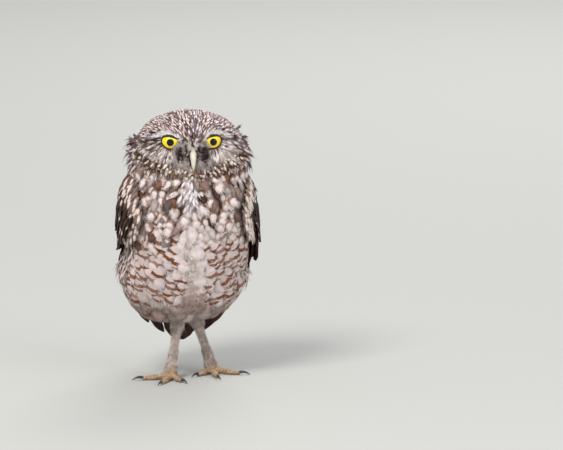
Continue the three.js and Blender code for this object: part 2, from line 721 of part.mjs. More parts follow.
function tail() {
  const random = randomFrom(7);
  const pieces = [];
  const half = (TAIL_FEATHERS - 1) / 2;
  for (let i = 0; i < TAIL_FEATHERS; i += 1) {
    const place = (i - half) / half;
    const stack = -TAIL_ROOF * Math.floor(Math.abs(i - half) + 0.5) - (i > half ? TAIL_ROOF / 2 : 0);
    pieces.push(vane(tailSurface, {
      root: [4, place * TAIL_ROOT_SPREAD],
      tip: [TAIL_LENGTH - TAIL_OUTER_SHORT * place * place - random(), place * TAIL_TIP_SPREAD],
      width: TAIL_FEATHER_WIDTH,
      tilt: 0,
      rootLift: stack,
      bodyLift: stack,
      tipLift: stack,
      ridged: true,
    }));
  }
  // Root of the tail: an oval pad from which the feathers come
  const middle = leanAt(LEAN_FROM);
  const padShift = new THREE.Vector3(middle, TAIL_PAD_BACK, TAIL_PAD_DROP);
  const padStations = TAIL_PAD.map(([reach, width, height]) => ({
    place: tailRootPoint.clone().addScaledVector(tailAhead, reach).add(padShift),
    halfWidth: width,
    halfHeight: height,
  }));
  pieces.push(sweptForm(padStations, 14, 0));
  for (const row of [UPPER_TAIL_COVERTS, UNDER_TAIL_COVERTS]) {
    for (let i = 0; i < row.count; i += 1) {
      const place = 2 * i / (row.count - 1) - 1;
      const sunk = -Math.abs(place) * row.sink;
      const over = i % 2;
      pieces.push(vane(tailSurface, {
        root: [row.from, place * row.rootSpread],
        tip: [row.to - 5 * Math.abs(place) - 2 * random(), place * row.tipSpread],
        width: row.width,
        tilt: 0,
        rootLift: row.rootLift + sunk + 0.35 * over,
        bodyLift: (row.rootLift + row.tipLift) / 2 + sunk + 0.6 * over,
        tipLift: row.tipLift + sunk + 0.8 * over,
      }));
    }
  }
  return joined(pieces).subtract(torsoWithGap);
}

addNode('tail', tail(), tailFeather);

const vectorOf = list => new THREE.Vector3(...list);

function tarsusStations(leg) {
  const ankle = vectorOf(leg.ankle);
  const heel = vectorOf(leg.heel);
  return TARSUS_SHAPE.map(([u, radius]) => ({
    place: ankle.clone().lerp(heel, u), halfWidth: radius, halfHeight: radius,
  }));
}

function thighForm(leg, grow) {
  const heel = vectorOf(leg.heel);
  const hip = vectorOf(leg.hip);
  const below = vectorOf(leg.ankle).lerp(heel, HEEL_CUT - 0.04);
  const stations = [
    { place: below, halfWidth: HEEL_RADIUS + THIGH_SLEEVE, halfHeight: HEEL_RADIUS + THIGH_SLEEVE },
    { place: heel, halfWidth: HEEL_RADIUS + 2.2, halfHeight: HEEL_RADIUS + 3 },
    { place: heel.clone().lerp(hip, 0.45), halfWidth: THIGH_RADIUS * 0.8, halfHeight: THIGH_RADIUS },
    { place: hip, halfWidth: THIGH_RADIUS, halfHeight: THIGH_RADIUS * 1.1 },
  ];
  return sweptForm(stations, 14, grow);
}

function toeStations(leg, toe) {
  const away = new THREE.Vector3(Math.cos(toe.turn * DEGREE), Math.sin(toe.turn * DEGREE), 0);
  const root = vectorOf(leg.ankle).setZ(TOE_ROOT_HEIGHT);
  return TOE_SHAPE.map(([u, radius, height]) => ({
    place: root.clone().addScaledVector(away, u * toe.length).setZ(height),
    halfWidth: radius,
    halfHeight: radius,
  }));
}

// Claw: a horn that leaves the toe's end, arches and comes down to the floor
function clawForm(leg, toe) {
  const away = new THREE.Vector3(Math.cos(toe.turn * DEGREE), Math.sin(toe.turn * DEGREE), 0);
  const root = vectorOf(leg.ankle).setZ(0).addScaledVector(away, toe.length);
  const stations = CLAW_SHAPE.map(([u, height, thin]) => ({
    place: root.clone().addScaledVector(away, u * toe.claw).setZ(height),
    halfWidth: CLAW_ROOT_RADIUS * thin,
    halfHeight: CLAW_ROOT_RADIUS * thin,
  }));
  return sweptForm(stations, 6, 0, new THREE.Vector3(-away.y, away.x, 0));
}

for (const [side, leg] of Object.entries(LEGS)) {
  const ankle = vectorOf(leg.ankle);
  const heel = vectorOf(leg.heel);
  const shaft = heel.clone().sub(ankle).normalize();
  const heelCut = ankle.clone().lerp(heel, HEEL_CUT).dot(shaft);
  const ankleCut = ankle.dot(shaft) + ANKLE_CUT - leg.ankle[2];
  const up = shaft.toArray();
  const down = shaft.clone().negate().toArray();
  const tarsus = sweptForm(tarsusStations(leg), 12, 0);
  const thigh = thighForm(leg, 0).trimByPlane(up, heelCut + GAP / 2).subtract(torsoWithGap);
  addNode(`thigh_${side}`, thigh, legFeather);
  const belowHeel = tarsus.trimByPlane(down, -(heelCut - GAP / 2));
  addNode(`tarsus_${side}`, belowHeel.trimByPlane(up, ankleCut + GAP / 2), legFeather);
  const toeForms = TOES[side].map(toe => sweptForm(toeStations(leg, toe), 8, 0, new THREE.Vector3(0, 0, 1)));
  const ankleEnd = tarsus.trimByPlane(down, -(ankleCut - GAP / 2));
  addNode(`foot_${side}`, joined([ankleEnd, ...toeForms]).trimByPlane(upVector, 0), toeSkin);
  for (const toe of TOES[side]) {
    const toeWithGap = sweptForm(toeStations(leg, toe), 8, GAP, new THREE.Vector3(0, 0, 1));
    addNode(`claw_${side}_${toe.name}`, clawForm(leg, toe).subtract(toeWithGap), clawHorn);
  }
}

// Origin on the floor under the middle of the bird
const middleOfAll = new THREE.Box3().setFromObject(group).getCenter(new THREE.Vector3());
group.position.set(-middleOfAll.x, -middleOfAll.y, 0);

export default group;
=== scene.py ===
"""A burrowing owl standing upright, life size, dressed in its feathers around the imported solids."""
import json
import math

import bpy
import numpy as np
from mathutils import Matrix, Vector

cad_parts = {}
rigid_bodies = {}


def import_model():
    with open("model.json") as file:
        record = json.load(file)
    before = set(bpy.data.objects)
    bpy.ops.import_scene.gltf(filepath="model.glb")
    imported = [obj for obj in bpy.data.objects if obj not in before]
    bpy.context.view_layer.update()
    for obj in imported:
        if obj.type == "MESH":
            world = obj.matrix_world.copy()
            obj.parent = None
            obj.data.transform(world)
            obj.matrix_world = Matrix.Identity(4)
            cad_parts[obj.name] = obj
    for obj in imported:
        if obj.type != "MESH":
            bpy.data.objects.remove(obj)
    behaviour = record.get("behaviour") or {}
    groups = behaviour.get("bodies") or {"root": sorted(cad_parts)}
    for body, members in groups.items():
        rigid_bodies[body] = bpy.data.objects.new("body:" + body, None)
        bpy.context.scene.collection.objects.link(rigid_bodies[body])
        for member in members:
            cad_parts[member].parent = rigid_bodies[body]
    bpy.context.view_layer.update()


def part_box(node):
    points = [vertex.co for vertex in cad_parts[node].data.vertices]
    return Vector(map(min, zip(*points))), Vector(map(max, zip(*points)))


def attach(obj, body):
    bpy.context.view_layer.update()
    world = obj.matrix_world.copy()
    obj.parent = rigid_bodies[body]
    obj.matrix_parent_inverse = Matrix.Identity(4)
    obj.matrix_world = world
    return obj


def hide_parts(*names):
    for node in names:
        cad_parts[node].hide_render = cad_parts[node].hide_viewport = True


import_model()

# Camera, light and floor. The owl stands on a pale floor under soft studio light, seen from far away
# and from slightly above. The camera puts the eyes where the photograph has them.
MM = 0.001
PIXEL_SIZE = 0.80
PHOTO_WIDTH_PX = 563
PHOTO_MIDDLE_PX = (281.5, 225)
PUPILS_MIDDLE_PX = (191.9, 142.3)
CAMERA_RISE = math.radians(10)
CAMERA_DISTANCE = 7
CAMERA_CLIP = 60
SENSOR_WIDTH = 36
EYE_RADIUS = 8.4
HEAD_TURN = math.radians(5)
FLOOR_SIZE = 24
FLOOR_COLOUR = (0.50, 0.50, 0.475, 1)
FLOOR_ROUGHNESS = 0.9
SKY_COLOUR = (0.95, 0.97, 1.0, 1)
SKY_STRENGTH = 0.6
LIGHTS = {
    "key_light": {"place": (-0.9, -1.5, 2.1), "size": 0.9, "power": 52, "colour": (1.0, 0.98, 0.95)},
    "fill_light": {"place": (1.7, -1.3, 0.9), "size": 1.4, "power": 14, "colour": (0.95, 0.98, 1.0)},
    "back_light": {"place": (0.5, 1.9, 1.5), "size": 1.2, "power": 22, "colour": (1.0, 1.0, 0.98)},
}


def box_middle(node):
    low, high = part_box(node)
    return (low + high) / 2


def plain_finish(name, colour, roughness):
    finish = bpy.data.materials.new(name)
    finish.use_nodes = True
    shader = finish.node_tree.nodes["Principled BSDF"]
    shader.inputs["Base Color"].default_value = colour
    shader.inputs["Roughness"].default_value = roughness
    return finish


eyes_middle = (box_middle("eye_left") + box_middle("eye_right")) / 2
view_ahead = Vector((0, math.cos(CAMERA_RISE), -math.sin(CAMERA_RISE)))
view_up = Vector((0, math.sin(CAMERA_RISE), math.cos(CAMERA_RISE)))
across_px = PHOTO_MIDDLE_PX[0] - PUPILS_MIDDLE_PX[0]
down_px = PHOTO_MIDDLE_PX[1] - PUPILS_MIDDLE_PX[1]
face_ahead = Vector((math.sin(HEAD_TURN), -math.cos(HEAD_TURN), 0))
pupils_middle = eyes_middle + face_ahead * EYE_RADIUS * MM
aim = pupils_middle + Vector((across_px * PIXEL_SIZE * MM, 0, 0)) - view_up * down_px * PIXEL_SIZE * MM
camera_data = bpy.data.cameras.new("photo_camera")
camera_data.sensor_width = SENSOR_WIDTH
camera_data.lens = SENSOR_WIDTH * CAMERA_DISTANCE / (PHOTO_WIDTH_PX * PIXEL_SIZE * MM)
camera_data.clip_end = CAMERA_CLIP
camera = bpy.data.objects.new("photo_camera", camera_data)
camera.location = aim - view_ahead * CAMERA_DISTANCE
camera.rotation_euler = (math.pi / 2 - CAMERA_RISE, 0, 0)
bpy.context.scene.collection.objects.link(camera)
bpy.context.scene.camera = camera
for name, light in LIGHTS.items():
    lamp = bpy.data.lights.new(name, "AREA")
    lamp.size = light["size"]
    lamp.energy = light["power"]
    lamp.color = light["colour"]
    holder = bpy.data.objects.new(name, lamp)
    holder.location = light["place"]
    holder.rotation_euler = (aim - Vector(light["place"])).to_track_quat("-Z", "Y").to_euler()
    bpy.context.scene.collection.objects.link(holder)
world = bpy.data.worlds.new("studio")
world.use_nodes = True
world.node_tree.nodes["Background"].inputs["Color"].default_value = SKY_COLOUR
world.node_tree.nodes["Background"].inputs["Strength"].default_value = SKY_STRENGTH
bpy.context.scene.world = world
bpy.context.scene.view_settings.view_transform = "Standard"
floor_mesh = bpy.data.meshes.new("floor")
half = FLOOR_SIZE / 2
floor_corners = [(-half, -half, 0), (half, -half, 0), (half, half, 0), (-half, half, 0)]
floor_mesh.from_pydata(floor_corners, [], [(0, 1, 2, 3)])
floor = bpy.data.objects.new("floor", floor_mesh)
bpy.context.scene.collection.objects.link(floor)
floor_mesh.materials.append(plain_finish("pale_floor", FLOOR_COLOUR, FLOOR_ROUGHNESS))

# Skin. One hide of head, neck, body and thighs lies under the coat, and shows only round the eyes,
# at the root of the bill and between thin feathers. Its form is that of the solids, less the coat.
# Each knot of an outline has its height, half its width, and where its front and back lie.
TORSO_OUTLINE = (
    (46, 0, 4, 4), (47.5, 18, -8, 21), (51, 30.5, -18, 36), (57, 39, -25, 46.5), (65, 45.2, -30, 53),
    (76, 50.3, -35, 56), (90, 53.5, -39.5, 56), (105, 54, -43, 55), (120, 53.2, -45, 53),
    (135, 52.4, -46, 49.5), (150, 50.8, -45.5, 45), (160, 48.6, -44, 41.5), (168, 45.2, -41.5, 38),
    (178, 34, -32, 29), (184, 0, -2, -2),
)
HEAD_OUTLINE = (
    (154, 0, -3, -3), (158, 30, -28, 26), (165, 43.5, -37.5, 34), (172, 47, -40, 36.5),
    (180, 47.4, -39.8, 37), (188, 46, -38, 37), (196, 42.8, -36, 35.5), (204.5, 37.2, -31.5, 31),
    (210.5, 29.6, -25, 24.6), (215, 20.8, -18.5, 16), (218, 10.8, -10, 6.5), (219, 0, -2, -2),
)
# Heights, with how far the body's right side and its left side move there towards its left.
SIDE_SHIFTS = (
    (46, 0, 0), (60, 0, 2), (72, 0, 2.6), (84, 0.5, 1.6), (92, 2.4, 0), (98, 4.8, 0),
    (105, 6.6, 0), (112, 6, 0), (120, 4.6, 0), (132, 3, 0), (144, 1, 0), (154, 0, 0),
)
SIDE_SHIFT_START = 6
SIDE_SHIFT_FULL = 46
LEAN_FOOT = -6.5
LEAN_RATE = 0.063
LEAN_FROM = 45
LEAN_TOP = 178
TORSO_ENDS = (46, 184)
VENT_ROUNDING = (46, 56)
HEAD_X = 2
HEAD_Y = -4
HEAD_ENDS = (154, 219)
CROWN_ROUNDING = (206, 219)
FACE_DEPTH = 20
EYE_SPREAD = 16
EYE_HEIGHT = 197.4
EYE_Y = -24.2
EYE_SPLAY = math.radians(9)
DISH_DEPTH = 2.6
DISH_REACH = 13
BROW_RISE = 3.2
BRIDGE_RISE = 2.5
BODY_COAT = 3.6
HEAD_COAT = 2.6
FACE_COAT = 0.8
SKIN_RINGS = 60
SKIN_SIDES = 96
SKIN_VOXEL = 0.0013
SKIN_SMOOTHING = 6
BREAST_BORDER = (0.09, 0.125)
HEAD_BORDER = (0.165, 0.175)
NOISE_ROUGHNESS = 0.6
SIDEWAYS = np.array([1.0, 0, 0])
UPWARD = np.array([0, 0, 1.0])


def profile(knots, column, heights):
    """Smooth curve through one column of an outline, with no overshoot between its knots."""
    table = np.asarray(knots, float)
    x = table[:, 0]
    y = table[:, column]
    rise = np.diff(y) / np.diff(x)
    product = rise[:-1] * rise[1:]
    total = np.where(product > 0, rise[:-1] + rise[1:], 1)
    slope = np.concatenate([rise[:1], np.where(product > 0, 2 * product / total, 0), rise[-1:]])
    at = np.clip(heights, x[0], x[-1])
    k = np.clip(np.searchsorted(x, at, side="right") - 1, 0, len(x) - 2)
    span = x[k + 1] - x[k]
    u = (at - x[k]) / span
    start = (2 * u ** 3 - 3 * u ** 2 + 1) * y[k] + (u ** 3 - 2 * u ** 2 + u) * span * slope[k]
    return start + (3 * u ** 2 - 2 * u ** 3) * y[k + 1] + (u ** 3 - u ** 2) * span * slope[k + 1]


def lean_at(z):
    return LEAN_FOOT + LEAN_RATE * (np.minimum(z, LEAN_TOP) - LEAN_FROM)


def bump(distance, reach):
    return np.exp(-(distance / reach) ** 2)


def smooth_step(value, low, high):
    u = np.clip((value - low) / (high - low), 0, 1)
    return u * u * (3 - 2 * u)


def body_x(x, z):
    """A point's own x with the body's uneven sides and its lean."""
    shift = np.where(x < 0, profile(SIDE_SHIFTS, 1, z), profile(SIDE_SHIFTS, 2, z))
    return lean_at(z) + x + shift * smooth_step(np.abs(x), SIDE_SHIFT_START, SIDE_SHIFT_FULL)


def oval_point(outline, z, turn, inset):
    half_width = np.maximum(profile(outline, 1, z) - inset, 0.05)
    front = profile(outline, 2, z) + inset
    back = profile(outline, 3, z) - inset
    y = (front + back) / 2 + np.maximum(back - front, 0.1) / 2 * np.sin(turn)
    return half_width * np.cos(turn), y


def torso_point(z, turn, inset):
    x, y = oval_point(TORSO_OUTLINE, z, turn, inset)
    return np.stack([body_x(x, z), y, z + inset * (1 - smooth_step(z, *VENT_ROUNDING))], axis=-1)


def place_head(x, y, z):
    forward = y - HEAD_Y
    return np.stack([
        HEAD_X + x * math.cos(HEAD_TURN) - forward * math.sin(HEAD_TURN),
        HEAD_Y + x * math.sin(HEAD_TURN) + forward * math.cos(HEAD_TURN),
        z + 0 * x], axis=-1)


def face_shift(x, z):
    """How far the face sinks round each eye and stands out at the brows and over the bill."""
    sideways = np.abs(x) - EYE_SPREAD
    up = z - EYE_HEIGHT
    dish = DISH_DEPTH * bump(np.hypot(sideways, up + 1), DISH_REACH)
    brow_line = 9 + 0.28 * sideways
    brow = BROW_RISE * bump(up - brow_line, 5) * bump(sideways + 2, 11)
    bridge = BRIDGE_RISE * bump(x, 6) * bump(up + 5, 12)
    return dish - brow - bridge


def shaped_face(x, y, z):
    """The depth of a place on the head, with the shape of the face worked in on its front."""
    return y + face_shift(x, z) * np.clip((HEAD_Y - y) / FACE_DEPTH, 0, 1)


def head_point(z, turn, inset):
    x, y = oval_point(HEAD_OUTLINE, z, turn, inset)
    return place_head(x, shaped_face(x, y, z), z - inset * smooth_step(z, *CROWN_ROUNDING))


# The solids stand on the middle of their box, so the place of the eyes gives the shift to the frame.
drawn_eyes = place_head(np.float64(0), EYE_Y, np.float64(EYE_HEIGHT))
frame_shift = np.array(eyes_middle) / MM - drawn_eyes


def to_frame(points):
    return (np.asarray(points) + frame_shift) * MM


def mesh_piece(name, points, faces, finish=None):
    """An object from points in millimetres as drawn, placed in the frame."""
    mesh = bpy.data.meshes.new(name)
    mesh.from_pydata(to_frame(points).tolist(), [], [list(map(int, f)) for f in faces])
    mesh.update()
    piece = bpy.data.objects.new(name, mesh)
    bpy.context.scene.collection.objects.link(piece)
    if finish:
        mesh.materials.append(finish)
    return piece


def ring_faces(rings, sides, first=0):
    """Faces between rings of points, with a fan over each end."""
    faces = []
    for ring in range(rings - 1):
        for side in range(sides):
            a = first + ring * sides + side
            b = first + ring * sides + (side + 1) % sides
            faces.append((a, b, b + sides, a + sides))
    last = first + (rings - 1) * sides
    faces.append([first + side for side in range(sides)][::-1])
    faces.append([last + side for side in range(sides)])
    return faces


def form_rings(form, low, high, inset):
    """Rings of points round a form, closer together at its two ends."""
    turns = np.linspace(0, 2 * math.pi, SKIN_SIDES, endpoint=False)
    shares = (1 - np.cos(np.pi * (np.arange(SKIN_RINGS) + 0.5) / SKIN_RINGS)) / 2
    points = [form(np.full(SKIN_SIDES, z), turns, inset) for z in low + (high - low) * shares]
    return np.concatenate(points), ring_faces(SKIN_RINGS, SKIN_SIDES)


def merged(name, pieces, voxel, smoothing):
    """Melts overlapping closed pieces into one smooth closed mesh."""
    bpy.context.view_layer.objects.active = pieces[0]
    bpy.ops.object.select_all(action="DESELECT")
    for piece in pieces:
        piece.select_set(True)
    bpy.ops.object.join()
    whole = pieces[0]
    whole.name = name
    remesh = whole.modifiers.new("melt", "REMESH")
    remesh.mode = "VOXEL"
    remesh.voxel_size = voxel
    smooth = whole.modifiers.new("smooth", "SMOOTH")
    smooth.factor = 0.5
    smooth.iterations = smoothing
    return settled(whole)


def settled(piece):
    """The piece with its modifiers turned into plain mesh."""
    graph = bpy.context.evaluated_depsgraph_get()
    mesh = bpy.data.meshes.new_from_object(piece.evaluated_get(graph))
    mesh.name = piece.name
    piece.modifiers.clear()
    old = piece.data
    piece.data = mesh
    bpy.data.meshes.remove(old)
    return piece


def map_corners(mesh, layer_name, coordinates):
    """Gives each corner of each face the map coordinates of its own point."""
    corners = np.zeros(len(mesh.loops), np.int32)
    mesh.loops.foreach_get("vertex_index", corners)
    layer = mesh.uv_layers.new(name=layer_name)
    layer.data.foreach_set("uv", np.asarray(coordinates, np.float32)[corners].ravel())


def shade_smooth(piece):
    piece.data.polygons.foreach_set("use_smooth", [True] * len(piece.data.polygons))
    return piece


class Wire:
    """A shader value that can be written into sums and products."""

    def __init__(self, tree, socket):
        self.tree = tree
        self.socket = socket

    def node(self, kind, settings, values, output=0):
        made = self.tree.nodes.new(kind)
        for key, setting in settings.items():
            setattr(made, key, setting)
        for key, value in values.items():
            if isinstance(value, Wire):
                self.tree.links.new(value.socket, made.inputs[key])
            else:
                made.inputs[key].default_value = value
        return Wire(self.tree, made.outputs[output])

    def maths(self, operation, *values):
        return self.node("ShaderNodeMath", {"operation": operation}, dict(enumerate(values)))

    def __add__(self, other):
        return self.maths("ADD", self, other)

    def __sub__(self, other):
        return self.maths("SUBTRACT", self, other)

    def __rsub__(self, other):
        return self.maths("SUBTRACT", other, self)

    def __mul__(self, other):
        return self.maths("MULTIPLY", self, other)

    __rmul__ = __mul__

    def higher(self, other):
        return self.maths("MAXIMUM", self, other)

    def ramp(self, low, high):
        """Smoothly from 0 to 1 as this value goes from low to high."""
        return self.node("ShaderNodeMapRange", {"interpolation_type": "SMOOTHSTEP"}, {
            "Value": self, "From Min": low, "From Max": high})

    def part(self, axis):
        return self.node("ShaderNodeSeparateXYZ", {}, {0: self}, output=axis)

    def tint(self, factor, first, second):
        """Colour that goes from first to second with the factor. Plain colours are as seen on a screen."""
        start, end = [colour if isinstance(colour, Wire) else linear(colour) for colour in (first, second)]
        return self.node("ShaderNodeMix", {"data_type": "RGBA"}, {0: factor, 6: start, 7: end}, output=2)

    def noise(self, where, scale, detail=3.0):
        return self.node("ShaderNodeTexNoise", {}, {
            "Vector": where, "Scale": scale, "Detail": detail, "Roughness": NOISE_ROUGHNESS})


def linear(colour):
    """A colour as seen on a screen, its red, green and blue from 0 to 255, as the shader takes it."""
    return tuple(((part / 255 + 0.055) / 1.055) ** 2.4 for part in colour) + (1.0,)


def new_finish(name, settings):
    """Material with its shader set, and a wire to build on."""
    finish = bpy.data.materials.new(name)
    finish.use_nodes = True
    tree = finish.node_tree
    shader = tree.nodes["Principled BSDF"]
    for key, value in settings.items():
        shader.inputs[key].default_value = value
    return finish, shader, Wire(tree, None)


def connect(shader, name, wire):
    wire.tree.links.new(wire.socket, shader.inputs[name])


def roughen(shader, strength, distance, height):
    """Small bumps on a surface, with a wire for their height."""
    connect(shader, "Normal", height.node("ShaderNodeBump", {}, {
        "Strength": strength, "Distance": distance, "Height": height}))


def object_place(wire):
    return wire.node("ShaderNodeTexCoord", {}, {}, output=3)


DARK_BROWN = (74, 48, 40)
MID_BROWN = (120, 92, 80)
RUFOUS = (150, 102, 70)
BUFF = (214, 196, 180)
WHITE_FEATHER = (247, 241, 240)
NEAR_BLACK = (36, 27, 25)
SPOT_EDGE = (176, 138, 112)


def skin_finish():
    """White down on the belly, brown on the breast, and near-black to brown on the head, where it is also
    painted shade in the gaps between feathers.
    """
    finish, shader, wire = new_finish("skin_down", {"Roughness": 0.95})
    place = object_place(wire)
    height = place.part(2)
    mottle = wire.noise(place, 90.0).ramp(0.35, 0.65)
    pale = wire.tint(mottle, BUFF, WHITE_FEATHER)
    dark = wire.tint(mottle, DARK_BROWN, MID_BROWN)
    # Painted shade: on the head the skin takes the dark colour of its feathers, so the gaps between them read
    # as shadow.
    head_brown_and_shade = wire.tint(mottle, NEAR_BLACK, MID_BROWN)
    breast = wire.tint(height.ramp(*BREAST_BORDER), pale, dark)
    connect(shader, "Base Color", wire.tint(height.ramp(*HEAD_BORDER), breast, head_brown_and_shade))
    roughen(shader, 0.5, 0.0006, wire.noise(place, 900.0))
    return finish


def face_inset(z, turn):
    """Depth of the coat on the head: thin on the face, thick on crown and nape."""
    y = oval_point(HEAD_OUTLINE, z, turn, 0)[1]
    in_front = smooth_step(-y, 18, 30) * smooth_step(z, 168, 176) * (1 - smooth_step(z, 203, 209))
    return HEAD_COAT + (FACE_COAT - HEAD_COAT) * in_front


def head_skin_point(z, turn, inset):
    """The head under its coat, sunk at the inner corner of each eye."""
    x, y = oval_point(HEAD_OUTLINE, z, turn, 0)
    corner = np.hypot(np.abs(x) - 12.5, (z - EYE_HEIGHT) * 0.9)
    hollow = 2.6 * (1 - smooth_step(corner, 4.5, 8)) * (y < HEAD_Y)
    points = head_point(z, turn, face_inset(z, turn) + inset)
    return points + np.stack([0 * hollow, hollow, 0 * hollow], axis=-1)


LEGS = {
    "left": {"ankle": (19.2, 14.5, 7), "heel": (5.2, 15, 51), "hip": (9, 2, 72)},
    "right": {"ankle": (-13, -10.5, 7), "heel": (-6.4, 0, 52), "hip": (-14, -8, 72)},
}
HEEL_RADIUS = 4.4
THIGH_RADIUS = 13
THIGH_COAT = 1.6
LIMB_SIDES = 24


def swept(stations, sides, sideways):
    """Rings along a run of stations, each a place, a half width and a half height."""
    places = np.array([s[0] for s in stations], float)
    last = len(stations) - 1
    rings = []
    for i, (place, half_width, half_height) in enumerate(stations):
        ahead = places[min(i + 1, last)] - places[max(i - 1, 0)]
        ahead /= np.linalg.norm(ahead)
        across = sideways - ahead * np.dot(sideways, ahead)
        across /= np.linalg.norm(across)
        upright = np.cross(ahead, across)
        turns = 2 * np.pi * (np.arange(sides) + 0.5) / sides
        rings.append(np.array(place) + np.outer(np.cos(turns) * half_width, across)
                     + np.outer(np.sin(turns) * half_height, upright))
    return np.concatenate(rings), ring_faces(len(stations), sides)


def thigh_stations(leg, inset):
    ankle, heel, hip = (np.array(leg[key], float) for key in ("ankle", "heel", "hip"))
    below = ankle + (heel - ankle) * 0.73
    return [
        (below, HEEL_RADIUS - 0.6, HEEL_RADIUS - 0.6),
        (heel, HEEL_RADIUS + 2.2 - inset, HEEL_RADIUS + 3 - inset),
        (heel + (hip - heel) * 0.45, THIGH_RADIUS * 0.8 - inset, THIGH_RADIUS - inset),
        (hip, THIGH_RADIUS - inset, THIGH_RADIUS * 1.1 - inset),
    ]


skin_parts = [
    mesh_piece("torso_skin", *form_rings(torso_point, *TORSO_ENDS, BODY_COAT)),
    mesh_piece("head_skin", *form_rings(head_skin_point, *HEAD_ENDS, 0)),
]
for leg in LEGS.values():
    thigh = swept(thigh_stations(leg, THIGH_COAT), LIMB_SIDES, SIDEWAYS)
    skin_parts.append(mesh_piece("thigh_skin", *thigh))
skin = shade_smooth(merged("skin", skin_parts, SKIN_VOXEL, SKIN_SMOOTHING))
skin.data.materials.append(skin_finish())
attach(skin, "root")
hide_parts("head", "neck", "torso", "thigh_left", "thigh_right")

# Eyes. Each is a wet ball with a bright yellow iris round a blue-black pupil, set deep under the
# brow, inside a rim of bare black skin that is the edge of the lids.
IRIS_RADIUS = 7.9
PUPIL_RADIUS = 2.95
LID_WIDTH = 14.4
LID_TOP = 4.0
LID_BOTTOM = 5.1
LID_ARCH = 0.75
LID_SLANT = math.radians(12)
LID_HALF_THICK = 0.5
LID_REACH = 0.85
LID_SIDES = 16
LID_STEPS = 56
LID_GAP = 0.35
CORNEA_RISE = 0.7
CORNEA_REACH = 0.75
EYE_RINGS = 40
EYE_SIDES = 64


def eye_axes(side):
    turn = HEAD_TURN + side * EYE_SPLAY
    gaze = np.array([math.sin(turn), -math.cos(turn), 0])
    across = np.array([math.cos(turn), math.sin(turn), 0])
    return gaze, across, UPWARD


def eye_place(side):
    return place_head(np.float64(side * EYE_SPREAD), EYE_Y, np.float64(EYE_HEIGHT))


def unit(vectors):
    return vectors / np.maximum(np.linalg.norm(vectors, axis=-1), 1e-9)[..., None]


def lid_line(side, sweep):
    """Points on the ball round the opening of the lids."""
    gaze, across, up = eye_axes(side)
    x = LID_WIDTH / 2 * np.cos(sweep)
    rise = np.sin(sweep)
    z = np.where(rise > 0, LID_TOP * np.abs(rise) ** LID_ARCH, LID_BOTTOM * rise)
    slant = side * LID_SLANT
    x, z = x * math.cos(slant) - z * math.sin(slant), x * math.sin(slant) + z * math.cos(slant)
    depth = np.sqrt((EYE_RADIUS + LID_GAP) ** 2 - x ** 2 - z ** 2)
    return eye_place(side) + np.outer(x, across) + np.outer(z, up) + np.outer(depth, gaze)


def lid_frame(side, sweep):
    """Points round the opening, each with the ball's outward direction and the way off the opening."""
    loop = lid_line(side, sweep)
    outward = unit(loop - eye_place(side))
    ahead = unit(lid_line(side, sweep + 0.06) - lid_line(side, sweep - 0.06))
    away = np.cross(ahead, outward)
    middle = eye_place(side) + eye_axes(side)[0] * EYE_RADIUS * 0.6
    return loop, outward, away * np.sign(np.sum(away * (loop - middle), axis=1))[:, None]


def eye_finish():
    """Wet ball with a rayed yellow iris, darker towards its rim, and a blue-black pupil."""
    finish, shader, wire = new_finish("eye_wet", {
        "Roughness": 0.35, "Specular IOR Level": 0.1,
        "Coat Weight": 1.0, "Coat Roughness": 0.02, "Coat IOR": 1.33})
    gaze = wire.node("ShaderNodeUVMap", {"uv_map": "gaze"}, {})
    x = gaze.part(0) - 0.5
    y = gaze.part(1) - 0.5
    square = x * x + y * y
    reach = square.maths("SQRT", square) * (2 * EYE_RADIUS)
    turn = wire.maths("ARCTAN2", y, x)
    rays = wire.noise(wire.node("ShaderNodeCombineXYZ", {}, {0: turn * 6.0, 1: reach * 0.15}), 3.0)
    yellow = wire.tint(rays.ramp(0.35, 0.7), (255, 214, 20), (255, 238, 66))
    ring = reach.ramp(4.9, 5.3) * (1 - reach.ramp(5.5, 6.0))
    yellow = wire.tint(ring * 0.4, yellow, (232, 160, 20))
    rim = wire.tint(reach.ramp(6.6, 7.8) * 0.8, yellow, (200, 132, 12))
    pupil = wire.tint(reach.ramp(PUPIL_RADIUS - 0.2, PUPIL_RADIUS + 0.25), (10, 13, 26), rim)
    hidden = wire.node("ShaderNodeAttribute", {"attribute_name": "hidden"}, {}, output=2)
    hidden = hidden.higher(reach.ramp(IRIS_RADIUS + 0.1, IRIS_RADIUS + 0.6))
    connect(shader, "Base Color", wire.tint(hidden, pupil, (16, 13, 13)))
    return finish


def lid_finish():
    finish, shader, wire = new_finish("lid_skin", {"Roughness": 0.5})
    grain = wire.noise(object_place(wire), 1400.0)
    connect(shader, "Base Color", wire.tint(grain, (8, 7, 8), (26, 21, 22)))
    roughen(shader, 0.4, 0.0002, grain)
    return finish


